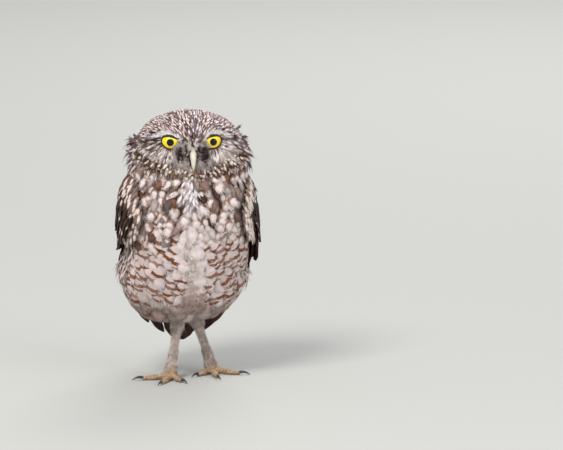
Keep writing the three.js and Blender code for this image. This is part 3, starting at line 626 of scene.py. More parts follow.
eye_surface = eye_finish()
lid_surface = lid_finish()
for side, name in ((1, "left"), (-1, "right")):
    gaze, across, up = eye_axes(side)
    centre = eye_place(side)
    swing = np.pi * (np.arange(EYE_RINGS) + 0.5) / EYE_RINGS
    turns = 2 * np.pi * np.arange(EYE_SIDES) / EYE_SIDES
    radius = EYE_RADIUS + CORNEA_RISE * bump(swing, CORNEA_REACH)
    along = np.outer(np.cos(swing) * radius, np.ones(EYE_SIDES)).ravel()
    wide = np.outer(np.sin(swing) * radius, np.cos(turns)).ravel()
    tall = np.outer(np.sin(swing) * radius, np.sin(turns)).ravel()
    points = centre + np.outer(along, gaze) + np.outer(wide, across) + np.outer(tall, up)
    eye = mesh_piece("eyeball_" + name, points, ring_faces(EYE_RINGS, EYE_SIDES), eye_surface)
    # The back of the ball is mapped beside its front, where the iris is not drawn
    coordinates = np.stack([0.5 + wide / (2 * EYE_RADIUS), 0.5 + tall / (2 * EYE_RADIUS)], axis=-1)
    behind = along <= 0
    coordinates[behind] = 0.5 + (coordinates[behind] - 0.5) * 1.3 + 0.5
    map_corners(eye.data, "gaze", coordinates)
    lean = -side * LID_SLANT
    lid_x = (wide * math.cos(lean) - tall * math.sin(lean)) / (LID_WIDTH / 2)
    lid_z = wide * math.sin(lean) + tall * math.cos(lean)
    lid_z = np.where(lid_z > 0, (np.abs(lid_z) / LID_TOP) ** (1 / LID_ARCH), lid_z / LID_BOTTOM)
    hidden = np.where(behind, 1.0, smooth_step(np.hypot(lid_x, lid_z), 1.02, 1.2)).astype(np.float32)
    eye.data.attributes.new("hidden", "FLOAT", "POINT").data.foreach_set("value", hidden)
    shade_smooth(eye)
    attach(eye, "root")
    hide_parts("eye_" + name)
    # The rim: a soft cord of black skin lying on the ball round the opening
    loop, outward, away = lid_frame(side, 2 * np.pi * np.arange(LID_STEPS) / LID_STEPS)
    section = []
    for k in range(LID_SIDES):
        angle = 2 * np.pi * k / LID_SIDES
        back = LID_REACH * (math.cos(angle) + 0.7)
        rise = LID_HALF_THICK * math.sin(angle) - back ** 2 / (2 * EYE_RADIUS)
        section.append(loop + away * back + outward * rise)
    points = np.stack(section, axis=1).reshape(-1, 3)
    faces = []
    for i in range(LID_STEPS):
        ring = i * LID_SIDES
        following = (i + 1) % LID_STEPS * LID_SIDES
        for k in range(LID_SIDES):
            beside = (k + 1) % LID_SIDES
            faces.append((ring + k, ring + beside, following + beside, following + k))
    lid = mesh_piece("lid_rim_" + name, points, faces, lid_surface)
    bpy.context.view_layer.objects.active = lid
    bpy.ops.object.mode_set(mode="EDIT")
    bpy.ops.mesh.select_all(action="SELECT")
    bpy.ops.mesh.normals_make_consistent(inside=False)
    bpy.ops.object.mode_set(mode="OBJECT")
    shade_smooth(lid)
    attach(lid, "root")

# Bill. A short hooked beak of pale horn, deep at its root between the eyes and pressed flat at the
# sides, with a nostril in each side of its cere. The lower half closes up behind the hook.
BILL_X = 0.4
BILL_RIDGE = (
    (-32, 196.6, 8.4, 10), (-38.5, 195.6, 7.8, 9.6), (-43.4, 191.6, 6.5, 8.2), (-45.8, 186, 5.3, 6),
    (-46, 180.4, 3.6, 3.6), (-44.6, 175.8, 1, 0.9),
)
LOWER_BILL_RIDGE = (
    (-30, 186.5, 7.2, 6), (-36.5, 184, 6, 5.4), (-40.2, 181.2, 4, 4.0), (-42.2, 178.4, 1.4, 1.4),
)
NOSTRIL_PLACE = np.array((3, -40.4, 191.4))
NOSTRIL_RADIUS = 1.0
NOSTRIL_DEPTH = 1.3
BILL_RINGS = 44
BILL_SIDES = 40
BILL_ROOT_HEIGHTS = (188, 194)
BILL_TIP_HEIGHTS = (176, 179.5)


def bill_points(ridge):
    """Rings along a ridge. Each knot has its y and its height, then the width and height of the bill."""
    knots = np.array(ridge, float)
    at = np.linspace(0, len(knots) - 1, BILL_RINGS)
    index = np.arange(len(knots))
    smooth = [np.interp(at, index, knots[:, k]) for k in range(4)]
    kernel = np.array([1, 2, 3, 2, 1]) / 9
    for k, line in enumerate(smooth):
        before = 2 * line[0] - line[2:0:-1]
        after = 2 * line[-1] - line[-2:-4:-1]
        smooth[k] = np.convolve(np.concatenate([before, line, after]), kernel, mode="valid")
    y, z, width, height = smooth
    ahead = np.stack([np.gradient(y), np.gradient(z)], axis=-1)
    ahead /= np.linalg.norm(ahead, axis=1)[:, None]
    points = []
    for i in range(BILL_RINGS):
        inward = np.array([0, -ahead[i, 1], ahead[i, 0]])
        for k in range(BILL_SIDES):
            angle = 2 * np.pi * k / BILL_SIDES
            keel = 1 - 0.12 * abs(math.sin(angle)) * (1 + math.cos(angle))
            down = height[i] / 2 * (1 - math.cos(angle))
            point = np.array([BILL_X, y[i], z[i]]) + inward * down
            points.append(point + np.array([width[i] / 2 * math.sin(angle) * keel, 0, 0]))
    points = np.array(points)
    for side in (-1, 1):
        hole = NOSTRIL_PLACE * (side, 1, 1) + np.array([BILL_X, 0, 0])
        distance = np.linalg.norm((points - hole) * (0.5, 1.0, 1.3), axis=1)
        points[:, 0] -= side * NOSTRIL_DEPTH * bump(distance, NOSTRIL_RADIUS)
    return place_head(*points.T), ring_faces(BILL_RINGS, BILL_SIDES)


def bill_finish():
    """Pale horn with a grain along its length, greyer at the root and duller at the tip."""
    finish, shader, wire = new_finish("bill_horn", {"Roughness": 0.38, "Coat Weight": 0.3})
    place = object_place(wire)
    height = place.part(2)
    stretched = wire.node("ShaderNodeVectorMath", {"operation": "MULTIPLY"}, {0: place, 1: (1.0, 1.0, 0.25)})
    grain = wire.noise(stretched, 900.0)
    base = wire.tint(grain, (205, 197, 178), (230, 223, 207))
    root = height.ramp(*[(level + frame_shift[2]) * MM for level in BILL_ROOT_HEIGHTS])
    tip = 1 - height.ramp(*[(level + frame_shift[2]) * MM for level in BILL_TIP_HEIGHTS])
    base = wire.tint(root * 0.7, base, (150, 146, 132))
    connect(shader, "Base Color", wire.tint(tip * 0.5, base, (150, 140, 108)))
    roughen(shader, 0.25, 0.0003, grain)
    return finish


bill_surface = bill_finish()
for ridge, name in ((BILL_RIDGE, "upper"), (LOWER_BILL_RIDGE, "lower")):
    bill = mesh_piece("bill_horn_" + name, *bill_points(ridge), bill_surface)
    shade_smooth(bill)
    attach(bill, "root")
    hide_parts("bill_" + name)

# Crown, nape and sides of the head. Small narrow feathers, each a flat vane with a frayed end,
# grow in close rows from the bill backwards. They are brown with a cream streak towards the tip.
VANE_RING = ((-1, 0), (-0.6, 0.7), (0, 1), (0.6, 0.7), (1, 0), (0, -0.3))
STRAND_LEVELS = ((0, 1.0), (0.55, 0.75))
BAKE_PATCH = 0.003
ROOT_ATTRIBUTES = {"upright": "FLOAT_VECTOR", "lie": "FLOAT_VECTOR", "size": "FLOAT_VECTOR", "pick": "INT",
                   "seat": "FLOAT_VECTOR", "tone": "FLOAT", "mark": "FLOAT_VECTOR"}
TURN_STEP = 0.004
HEIGHT_STEP = 0.05
FORM_LEVELS = 300
FORM_TURNS = 121
SEAT_EDGE = 0.01
SEAT_SPAN = 0.97
SEAT_HEIGHT = 225
BILL_ROOT = place_head(np.float64(BILL_X), -40.0, np.float64(192.0))
HEAD_HALF_WIDTH = 48
CROWN_ROWS = (166, 218.97)
CROWN_GAP = 1.9
NAPE_START = 2
BROW_LINE = ((5, 197), (8.5, 199.6), (14, 203.8), (20, 205.0), (26, 203.4), (33, 200.4), (40, 197))


def feather_shape(name, widths, steps, arch, thick, strands, strand_length, strand_width, splay, seed):
    """Unit feather along +Y: a thin closed vane with three-sided barb locks round its outer part."""
    rng = np.random.default_rng(seed)
    points = []
    faces = []
    marks = []

    def level(y):
        return arch[0] * y - arch[1] * y * y

    def half_at(y):
        return float(np.interp(y, np.linspace(0, 1, len(widths)), widths)) / 2

    if steps:
        lengths = np.linspace(0, 0.96, steps + 1)
        for i, y in enumerate(lengths):
            half_width = half_at(y)
            z = level(y)
            first = len(points)
            taper = min(1, half_width * 5)
            for column, rise in VANE_RING:
                points.append((column * half_width, y, z + rise * thick * taper))
                marks.append((0.5 + column * half_width, y))
            if i:
                for k in range(6):
                    a = first - 6 + k
                    b = first - 6 + (k + 1) % 6
                    faces.append((a, b, b + 6, a + 6))
            else:
                faces.append((5, 4, 3, 2, 1, 0))
        last = len(points) - 6
        points.append((0, 1, level(1)))
        marks.append((0.5, 1))
        faces += [(last + k, last + (k + 1) % 6, last + 6) for k in range(6)]
    for strand in range(strands):
        share = (strand + 0.5) / strands * 2 - 1
        y = 0.95 - 0.72 * abs(share) ** 1.3 if steps else 0.0
        on_edge = steps and abs(share) > 0.12
        x = math.copysign(half_at(y) * 0.86, share) if on_edge else share * 0.1
        length = strand_length * rng.uniform(0.7, 1.25)
        angle = share * splay + rng.normal(0, 0.08)
        ahead = np.array([math.sin(angle), math.cos(angle)])
        across = np.array([ahead[1], -ahead[0]])
        first = len(points)
        curl = rng.normal(0, 0.12)
        for u, thin in STRAND_LEVELS:
            centre = np.array([x, y]) + ahead * length * u + across * curl * length * u * u
            width = strand_width * thin
            z = level(centre[1])
            points += [(*(centre - across * width), z), (*(centre + across * width), z),
                       (*centre, z + width * 0.9)]
            marks += [(0.5 + centre[0], centre[1])] * 3
        end = np.array([x, y]) + ahead * length + across * curl * length
        points.append((*end, level(end[1]) + rng.uniform(0, 0.05)))
        marks.append((0.5 + end[0], end[1]))
        faces.append((first + 1, first, first + 2))
        for k in range(3):
            a = first + k
            b = first + (k + 1) % 3
            faces.append((a, b, b + 3, a + 3))
            faces.append((a + 3, b + 3, first + 6))
    mesh = bpy.data.meshes.new(name)
    mesh.from_pydata([tuple(map(float, p)) for p in points], [], faces)
    map_corners(mesh, "vane", marks)
    return bpy.data.objects.new(name, mesh)


def feather_kinds(name, count, **shape):
    """A collection of like feathers that differ only in the fray of their edges."""
    kinds = bpy.data.collections.new(name)
    for k in range(count):
        kinds.objects.link(feather_shape(f"{name}_{k}", seed=k + 1, **shape))
    return kinds


def planting_tree():
    """Nodes that set one feather on each root, along its lie, and give it a place on the bake map."""
    tree = bpy.data.node_groups.new("plant_feathers", "GeometryNodeTree")
    face = tree.interface
    face.new_socket("Roots", in_out="INPUT", socket_type="NodeSocketGeometry")
    sockets = {
        "kinds": face.new_socket("Feather Kinds", in_out="INPUT", socket_type="NodeSocketCollection"),
        "finish": face.new_socket("Finish", in_out="INPUT", socket_type="NodeSocketMaterial"),
        "patch": face.new_socket("Bake Patch", in_out="INPUT", socket_type="NodeSocketFloat"),
    }
    face.new_socket("Coat", in_out="OUTPUT", socket_type="NodeSocketGeometry")
    wire = Wire(tree, None)
    given = tree.nodes.new("NodeGroupInput")
    inputs = {socket.name: Wire(tree, socket) for socket in given.outputs if socket.name}

    def named(kind, name):
        return wire.node("GeometryNodeInputNamedAttribute", {"data_type": kind}, {"Name": name})

    kinds = wire.node("GeometryNodeCollectionInfo", {}, {
        "Collection": inputs["Feather Kinds"], "Separate Children": True, "Reset Children": True})
    turn = wire.node("FunctionNodeAxesToRotation", {"primary_axis": "Z", "secondary_axis": "Y"}, {
        0: named("FLOAT_VECTOR", "upright"), 1: named("FLOAT_VECTOR", "lie")})
    planted = wire.node("GeometryNodeInstanceOnPoints", {}, {
        "Points": inputs["Roots"], "Instance": kinds, "Pick Instance": True,
        "Instance Index": named("INT", "pick"), "Rotation": turn, "Scale": named("FLOAT_VECTOR", "size")})
    real = wire.node("GeometryNodeRealizeInstances", {}, {"Geometry": planted})
    patch = wire.node("ShaderNodeVectorMath", {"operation": "SCALE"}, {
        0: named("FLOAT_VECTOR", "vane"), "Scale": inputs["Bake Patch"]})
    spot = wire.node("ShaderNodeVectorMath", {"operation": "ADD"}, {
        0: patch, 1: named("FLOAT_VECTOR", "seat")})
    mapped = wire.node("GeometryNodeStoreNamedAttribute", {"data_type": "FLOAT2", "domain": "CORNER"}, {
        "Geometry": real, "Name": "OFBake", "Value": spot})
    dressed = wire.node("GeometryNodeSetMaterial", {}, {"Geometry": mapped, "Material": inputs["Finish"]})
    result = tree.nodes.new("NodeGroupOutput")
    tree.links.new(dressed.socket, result.inputs[0])
    return tree, sockets


PLANTING, PLANTING_INPUTS = planting_tree()


def plant(name, roots, kinds, finish):
    """One coat piece: the feathers of every root, as plain mesh riding on the body."""
    count = len(roots["place"])
    picks = np.random.default_rng(count).integers(0, len(kinds.objects), count)
    mesh = bpy.data.meshes.new(name)
    mesh.from_pydata(to_frame(roots["place"]).tolist(), [], [])
    for key, kind in ROOT_ATTRIBUTES.items():
        values = picks if key == "pick" else np.asarray(roots[key], np.float32)
        if key == "size":
            values = values * np.float32(MM)
        field = mesh.attributes.new(key, kind, "POINT")
        field.data.foreach_set("vector" if kind == "FLOAT_VECTOR" else "value", values.ravel())
    holder = bpy.data.objects.new(name, mesh)
    bpy.context.scene.collection.objects.link(holder)
    planting = holder.modifiers.new("planting", "NODES")
    planting.node_group = PLANTING
    for key, value in (("kinds", kinds), ("finish", finish), ("patch", BAKE_PATCH)):
        planting[PLANTING_INPUTS[key].identifier] = value
    coat = settled(holder)
    for key in ("upright", "lie", "size", "pick", "seat"):
        coat.data.attributes.remove(coat.data.attributes[key])
    shade_smooth(coat)
    if not coat.data.materials:
        coat.data.materials.append(finish)
    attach(coat, "root")


def surface_frame(form, z, turn, inset):
    """Point, outward direction and downward direction on a form, for many places at once."""
    around = unit(form(z, turn + TURN_STEP, inset) - form(z, turn - TURN_STEP, inset))
    down = unit(form(z - HEIGHT_STEP, turn, inset) - form(z + HEIGHT_STEP, turn, inset))
    return form(z, turn, inset), unit(np.cross(down, around)), down


def rows_on(form, low, high, row_gap, side_gap, inset, rng, jitter=0.25):
    """Roots in staggered rows over a form: their heights and turns."""
    levels = np.linspace(low, high, FORM_LEVELS)
    quarters = (0.0, math.pi / 2, math.pi, -math.pi / 2)
    lines = [form(levels, np.full(FORM_LEVELS, quarter), inset) for quarter in quarters]
    steps = np.mean([np.linalg.norm(np.diff(line, axis=0), axis=1) for line in lines], axis=0)
    travel = np.concatenate([[0], np.cumsum(steps)])
    rows = np.arange(row_gap / 2, travel[-1], row_gap)
    heights = []
    turns = []
    circle = np.linspace(0, 2 * math.pi, FORM_TURNS)
    for k, reach in enumerate(rows):
        z = np.interp(reach, travel, levels)
        ring = form(np.full(FORM_TURNS, z), circle, inset)
        run = np.concatenate([[0], np.cumsum(np.linalg.norm(np.diff(ring, axis=0), axis=1))])
        count = max(3, round(run[-1] / side_gap))
        spots = (np.arange(count) + 0.5 * (k % 2) + rng.uniform(-jitter, jitter, count)) / count % 1
        turns.append(np.interp(spots * run[-1], run, circle))
        shift = rng.uniform(-jitter, jitter, count) * row_gap
        heights.append(np.interp(np.clip(reach + shift, 0, travel[-1]), travel, levels))
    return np.concatenate(heights), np.concatenate(turns)


def laid(normal, lie, lift, yaw):
    """Directions of a feather that lies along a surface, turned by yaw and raised by lift."""
    flat = unit(lie - normal * np.sum(lie * normal, axis=1)[:, None])
    side = np.cross(flat, normal)
    turned = flat * np.cos(yaw)[:, None] + side * np.sin(yaw)[:, None]
    ahead = turned * np.cos(lift)[:, None] + normal * np.sin(lift)[:, None]
    upright = normal * np.cos(lift)[:, None] - turned * np.sin(lift)[:, None]
    return ahead, upright


def body_seat(z, turn):
    """Place on the body's unwrap: once round it from the back, and up its height."""
    around = ((turn - math.pi / 2) / (2 * math.pi)) % 1
    return np.stack([SEAT_EDGE + SEAT_SPAN * around, SEAT_EDGE + SEAT_SPAN * z / SEAT_HEIGHT, 0 * z], axis=-1)


def root_set(place, lie, upright, seat, width, length, tone, mark):
    """All that the planting nodes need, with one entry for each feather."""
    return {"place": place, "lie": lie, "upright": upright, "seat": seat,
            "size": np.stack([width, length, length], axis=-1), "tone": tone, "mark": mark}


def ground_mark(pale):
    """Mark of feathers without a spot or bars, that says only how pale their ground is."""
    return np.stack([0 * pale, 0 * pale, pale], axis=-1)


def chosen(roots, keep):
    return {key: values[keep] for key, values in roots.items()}


def gather(*sets):
    return {key: np.concatenate([s[key] for s in sets]) for key in sets[0]}


def both_sides(roots, rng):
    """Roots of the owl's left side, then those of its right."""
    return gather(roots(1, rng), roots(-1, rng))


def patches(first, second, seed):
    """Smooth random waves over a surface, from -1 to 1, with crests about three units apart."""
    rng = np.random.default_rng(seed)
    total = 0 * first
    for turn, rate, start in rng.uniform((0, 1.4, 0), (2 * math.pi, 3.2, 2 * math.pi), (10, 3)):
        total = total + np.sin(rate * (first * math.cos(turn) + second * math.sin(turn)) + start)
    return np.clip(total / 3, -1, 1)


def vane_wires(wire):
    """Places beside the shaft, off it and along it, then the feather's mark and tone."""
    vane = wire.node("ShaderNodeUVMap", {"uv_map": "vane"}, {})
    beside = vane.part(0) - 0.5
    mark = wire.node("ShaderNodeAttribute", {"attribute_name": "mark"}, {}, output=1)
    tone = wire.node("ShaderNodeAttribute", {"attribute_name": "tone"}, {}, output=2)
    return beside, beside.maths("ABSOLUTE", beside), vane.part(1), mark, tone


def vane_material(name, dark, mid, pale, roughness, spot=(3.4, 0.74, 4.2), bar_colour=RUFOUS,
                  band=(0.5, 0.62), root=0.0, streaks=0.2):
    """Finish of small feathers. mark: x is the pale tip spot, y the bars, z how pale the ground is."""
    finish, shader, wire = new_finish(name, {"Roughness": roughness, "Specular IOR Level": 0.15})
    beside, across, along, mark, tone = vane_wires(wire)
    fine = wire.noise(object_place(wire), 420.0, 2.0)
    strands = wire.node("ShaderNodeCombineXYZ", {}, {
        0: beside * 26.0, 1: along * 5.0 + tone * 40.0, 2: tone * 17.0})
    barb = wire.noise(strands, 1.0, 2.0)
    brush = (barb - 0.5) * 0.5 + (fine - 0.5) * 0.3
    brown = wire.tint(tone + brush, dark, mid)
    ground = wire.tint(mark.part(2) + brush * 0.5, brown, pale)
    # The root share tints each feather brown towards its root. This is partly the feather's darker base and
    # partly painted shade in the gaps between rows.
    ground = wire.tint((1 - (along + brush * 0.2).ramp(0.35, 0.62)) * root, ground, brown)
    reach_x = (across + brush * 0.12) * (spot[0] * (1.25 - tone * 0.5))
    reach_y = (along + brush * 0.35 - spot[1]) * (spot[2] * (1.2 - tone * 0.4))
    reach = reach_x * reach_x + reach_y * reach_y
    halo = 1 - reach.ramp(0.9, 2.4)
    ground = wire.tint(halo * mark.part(0) * 0.7, ground, SPOT_EDGE)
    inside = 1 - reach.ramp(0.6, 1.25)
    spotted = wire.tint(inside * mark.part(0), ground, pale)
    level = along + brush * 0.3 + across * 0.2
    bar = level.ramp(band[0] - 0.05, band[0] + 0.02) * (1 - level.ramp(band[1] - 0.02, band[1] + 0.06))
    patchy = (fine + tone * 0.3).ramp(0.36, 0.5)
    barred = wire.tint(bar * patchy * mark.part(1), spotted, bar_colour)
    shaft = 1 - across.ramp(0.0, 0.03)
    shaded = wire.tint(shaft * 0.12 + (fine - 0.5) * 0.2 + barb.ramp(0.5, 0.78) * streaks, barred, MID_BROWN)
    slope = along * 70.0 + across * 70.0
    barbs = slope.maths("SINE", slope)
    connect(shader, "Base Color", shaded)
    roughen(shader, 0.3, 0.0002, barbs * 0.3 + fine + barb)
    return finish


def brow_height(x):
    return profile(BROW_LINE, 1, np.abs(x))


def head_own(place):
    """Places measured along the head's own directions, before its turn."""
    beside = place[:, 0] - HEAD_X
    behind = place[:, 1] - HEAD_Y
    x = beside * math.cos(HEAD_TURN) + behind * math.sin(HEAD_TURN)
    return x, behind * math.cos(HEAD_TURN) - beside * math.sin(HEAD_TURN) + HEAD_Y, place[:, 2]


def on_face(place):
    """The part of the head that the face's fine feathers cover."""
    x, y, z = head_own(place)
    beside = np.abs(x) - EYE_SPREAD
    disc = np.hypot(beside / 17.5, (z - EYE_HEIGHT + 5.5) / 17.5) < 1
    under_brow = z < brow_height(x) + 0.5
    middle = (np.abs(x) < 9) & (z < np.minimum(EYE_HEIGHT, brow_height(x)))
    return x, (y < -8) & (z > 176) & ((disc & under_brow) | middle)


crown_material = vane_material("crown_feathers", (60, 40, 38), (130, 103, 100), (247, 233, 234), 0.8,
                               spot=(9.6, 0.72, 2.4))
CROWN_SHAPE = {"widths": (0.14, 0.32, 0.36, 0.26, 0.05), "steps": 3, "arch": (0.1, 0.2), "thick": 0.05,
               "splay": 0.45}
CROWN_KINDS = feather_kinds("crown_kind", 5, strands=5, strand_length=0.34, strand_width=0.03, **CROWN_SHAPE)
NAPE_KINDS = feather_kinds("nape_kind", 5, strands=2, strand_length=0.3, strand_width=0.04, **CROWN_SHAPE)
rng = np.random.default_rng(21)
z, turn = rows_on(head_point, *CROWN_ROWS, CROWN_GAP, CROWN_GAP, HEAD_COAT, rng)
count = len(z)
inset = face_inset(z, turn) - 1.6 * smooth_step(z, 200, 214)
place, normal, down = surface_frame(head_point, z, turn, inset)
x_face, hidden = on_face(place)
side_of_head = smooth_step(np.abs(x_face), 34, 44) * smooth_step(z, 170, 178)
bridge = bump(x_face, 9) * (normal[:, 1] < 0) * (1 - smooth_step(z, 200, 208))
low_band = 1 - smooth_step(z, 170, 177)
# The feathers point away from the bill, and downwards low on the head
hang = (0.75 * (1 - smooth_step(z, 172, 186)))[:, None]
lie = unit(place - BILL_ROOT) * (1 - hang) + down * hang
lift = 0.16 + rng.normal(0, 0.06, count)
lift = lift + side_of_head * rng.uniform(0, 0.5, count) * (rng.random(count) < 0.4)
lie, upright = laid(normal, lie, lift, rng.normal(0, 0.16, count))
length = rng.uniform(4.6, 7.0, count) * (1 + 0.5 * side_of_head) * (1 - 0.3 * bridge)
width = length * rng.uniform(0.8, 1.1, count)
tone = rng.random(count)
spotted = rng.random(count) < 0.8 + 0.25 * patches(turn * 14, z / 3, 22) - 0.45 * bridge
spot = spotted * rng.uniform(0.4, 1.0, count)
mark = np.stack([spot, 0.35 * low_band, 0.07 + 0.3 * side_of_head + 0.18 * low_band], axis=-1)
crown = root_set(place, lie, upright, body_seat(z, turn), width, length, tone, mark)
nape = place[:, 1] > NAPE_START
plant("crown_coat", chosen(crown, ~hidden & ~nape), CROWN_KINDS, crown_material)
plant("nape_coat", chosen(crown, ~hidden & nape), NAPE_KINDS, crown_material)

# Face. Fine loose feathers point away from each eye and form two shallow discs. White brows slant
# down from over the eyes to the bill, dark bristles stand beside it, and a barred ruff closes the face.
DISC_INNER = 7.2
DISC_OUTER = 27
DISC_ROW_GAP = 1.35
DISC_SIDE_GAP = 1.15
LORE_CENTRE = (6.8, 187.6)
LORE_SIZE = (4.3, 4.8)
RUFF_LINE = 172.0
RUFF_CURVE = 0.0062
RUFF_ROWS = (6.6, 5.4, 4.2, 3.0, 1.8)
RUFF_GAP = 1.5
FRINGE_ROWS = ((1.0, 2.0), (1.5, 2.8), (2.2, 3.4), (3.0, 4.0), (3.9, 4.2))
BROW_FEATHERS = 400
LORE_FEATHERS = 400
BRIDGE_FEATHERS = 520


def face_point(x, z):
    """Point under the face's feathers at a place seen from in front."""
    half_width = profile(HEAD_OUTLINE, 1, z) - FACE_COAT
    front = profile(HEAD_OUTLINE, 2, z) + FACE_COAT
    back = profile(HEAD_OUTLINE, 3, z) - FACE_COAT
    y = (front + back) / 2 - (back - front) / 2 * np.sqrt(np.maximum(1 - (x / half_width) ** 2, 0.001))
    return place_head(x, shaped_face(x, y, z), z)


def face_seat(x, z):
    """Place on the body's unwrap of a place on the face."""
    across = x / HEAD_HALF_WIDTH
    return body_seat(z, np.arctan2(-np.sqrt(np.maximum(1 - across ** 2, 0)), across))


def face_roots(x, z, toward_x, toward_z, lift, yaw, width, length, tone, mark):
    """Roots on the face from head-side x and height, each with the direction it lies in."""
    along_x = unit(face_point(x + 0.1, z) - face_point(x - 0.1, z))
    along_z = unit(face_point(x, z + 0.1) - face_point(x, z - 0.1))
    normal = unit(np.cross(along_x, along_z))
    lie = unit(along_x * toward_x[:, None] + along_z * toward_z[:, None])
    lie, upright = laid(normal, lie, lift, yaw)
    return root_set(face_point(x, z), lie, upright, face_seat(x, z), width, length, tone, mark)


def lore_darkness(x, z):
    """How dark the face is beside the bill, from 0 to 1."""
    beside = (np.abs(x) - LORE_CENTRE[0]) / LORE_SIZE[0]
    return bump(np.hypot(beside, (z - LORE_CENTRE[1]) / LORE_SIZE[1]), 1)


def disc_roots(side, rng):
    """Rings of fine feathers round one eye, pale and brown in streaks, darker towards the bill."""
    angle = []
    reach = []
    for row, r in enumerate(np.arange(DISC_INNER, DISC_OUTER, DISC_ROW_GAP)):
        count = int(2 * math.pi * r / DISC_SIDE_GAP)
        angle.append(2 * np.pi * (np.arange(count) + 0.5 * (row % 2) + rng.uniform(-0.3, 0.3, count)) / count)
        reach.append(r + rng.uniform(-0.4, 0.4, count))
    reach = np.concatenate(reach)
    angle = np.concatenate(angle)
    x = side * EYE_SPREAD + reach * 1.06 * np.cos(angle)
    z = EYE_HEIGHT - 0.4 + reach * 0.9 * np.sin(angle)
    keep = (np.abs(x) > 6) & (x * side > 0) & (z < brow_height(x) - 0.5)
    keep &= (np.abs(x) < profile(HEAD_OUTLINE, 1, z) * 0.94) & (z > RUFF_LINE + 5 + RUFF_CURVE * x * x)
    x, z, angle, reach = x[keep], z[keep], angle[keep], reach[keep]
    count = len(x)
    out = np.cos(angle)
    down = np.sin(angle) - 0.35
    size = np.sqrt(out ** 2 + down ** 2)
    dark = 0.8 * lore_darkness(x, z)
    streak = patches(angle * reach / 1.1, reach / 5, 33)
    off_middle = np.abs(x)
    behind_eye = bump(z - EYE_HEIGHT - 2.5, 2.2) * smooth_step(off_middle, 23, 26)
    behind_eye = behind_eye * (1 - smooth_step(off_middle, 32, 38))
    pale = 0.38 + 0.12 * smooth_step(off_middle, 24, 36) + 0.25 * bump(z - EYE_HEIGHT + 11, 3)
    pale = pale - dark - 0.7 * behind_eye + 0.5 * streak + rng.normal(0, 0.14, count)
    length = rng.uniform(4.4, 6.2, count) * (0.72 + 0.28 * smooth_step(reach, 8, 14))
    mark = ground_mark(np.clip(pale, 0, 1))
    tone = np.clip(0.65 + 0.4 * streak + rng.normal(0, 0.2, count) - 1.3 * dark - 0.6 * behind_eye, -0.2, 1)
    return face_roots(x, z, out / size, down / size, rng.normal(0.2, 0.07, count), rng.normal(0, 0.1, count),
                      length * rng.uniform(0.7, 1.1, count), length, tone, mark)


def brow_roots(side, rng):
    count = BROW_FEATHERS
    reach = rng.uniform(0, 1, count) ** 1.15
    x = side * (6 + reach * 24)
    z = brow_height(x) + rng.uniform(-2.2, 0.3, count) - 0.5 * reach
    climb = brow_height(np.abs(x) + 2) - brow_height(np.abs(x) - 2)
    length = rng.uniform(3.8, 5.6, count) * (1 - 0.3 * (1 - smooth_step(reach, 0, 0.2)))
    white = np.clip(rng.normal(1.0, 0.15, count) - 0.8 * reach ** 3 * rng.random(count), 0, 1)
    white = np.where(rng.random(count) < 0.06 + 0.4 * reach ** 2 + 0.06 * side, 0.15, white)
    return face_roots(x, z, np.full(count, side * 4.0), climb, rng.normal(0.24, 0.07, count),
                      rng.normal(0, 0.14, count), length * 0.7, length, rng.random(count), ground_mark(white))


def fringe_roots(side, rng):
    """Tiny feathers on the edge of the lids: white over the eye, grey and dark below it."""
    sets = []
    for back, length in FRINGE_ROWS:
        count = 46 + int(6 * back)
        sweep = 2 * np.pi * (np.arange(count) + rng.uniform(-0.35, 0.35, count)) / count
        loop, outward, away = lid_frame(side, sweep)
        over = loop + away * back - outward * (back ** 2 / (2 * EYE_RADIUS) + LID_GAP)
        x, y, z = head_own(over)
        on_skin = face_point(x, z)
        place = np.where((head_own(on_skin)[1] < y)[:, None], on_skin, over)
        normal = unit(place - eye_place(side))
        inner = smooth_step(-np.cos(sweep) * side, 0.3, 0.9)
        top = smooth_step(np.sin(sweep), -0.1, 0.35)
        lie = away + np.outer(0.8 * top * side, eye_axes(side)[1]) - np.outer(0.3 * (1 - top), UPWARD)
        lie, upright = laid(normal, lie, rng.normal(0.12, 0.06, count), rng.normal(0, 0.14, count))
        length = length * rng.uniform(0.8, 1.25, count)
        streak = patches(sweep * 9, 0 * sweep + back, 36)
        lower = 0.3 + 0.5 * streak - 0.5 * (1 - smooth_step(back, 1.2, 2.4)) - 0.5 * inner
        white = top * (1 - 0.9 * (back < 1.2)) + (1 - top) * lower + rng.normal(0, 0.1, count)
        tone = 0.5 + 0.3 * streak - 0.8 * (back < 1.8) - 0.5 * inner
        mark = ground_mark(np.clip(white, 0, 1))
        sets.append(root_set(place, lie, upright, face_seat(x, z), length * 0.9, length, tone, mark))
    return gather(*sets)


def lore_roots(side, rng):
    """Bristles beside and over the bill, nearly black in the lores and pale round them."""
    count = LORE_FEATHERS
    x = side * rng.uniform(0.2, 12, count)
    z = rng.uniform(178, 195, count)
    x = np.where(z < 193, side * np.maximum(np.abs(x), 2.8), x)
    dark = lore_darkness(x, z) > rng.uniform(0.18, 0.46, count)
    dark |= (rng.random(count) < 0.25) & (z > 188)
    upward = np.interp(z, (179, 187, 194, 200), (-1.3, -0.4, 0.3, 1.0))
    length = rng.uniform(3.6, 5.6, count) + 1.2 * ~dark
    pale = np.where(dark, 0.02, rng.choice((0.95, 0.7, 0.35), count)) + rng.normal(0, 0.04, count)
    outward = side * (0.8 - 0.5 * smooth_step(z, 190, 200) * bump(x, 5))
    return face_roots(x, z, outward, upward, rng.uniform(0.2, 0.5, count), rng.normal(0, 0.25, count),
                      length * 0.9, length, np.where(dark, -0.3, 0.5) + rng.uniform(-0.3, 0.5, count),
                      ground_mark(np.clip(pale, 0, 1)))


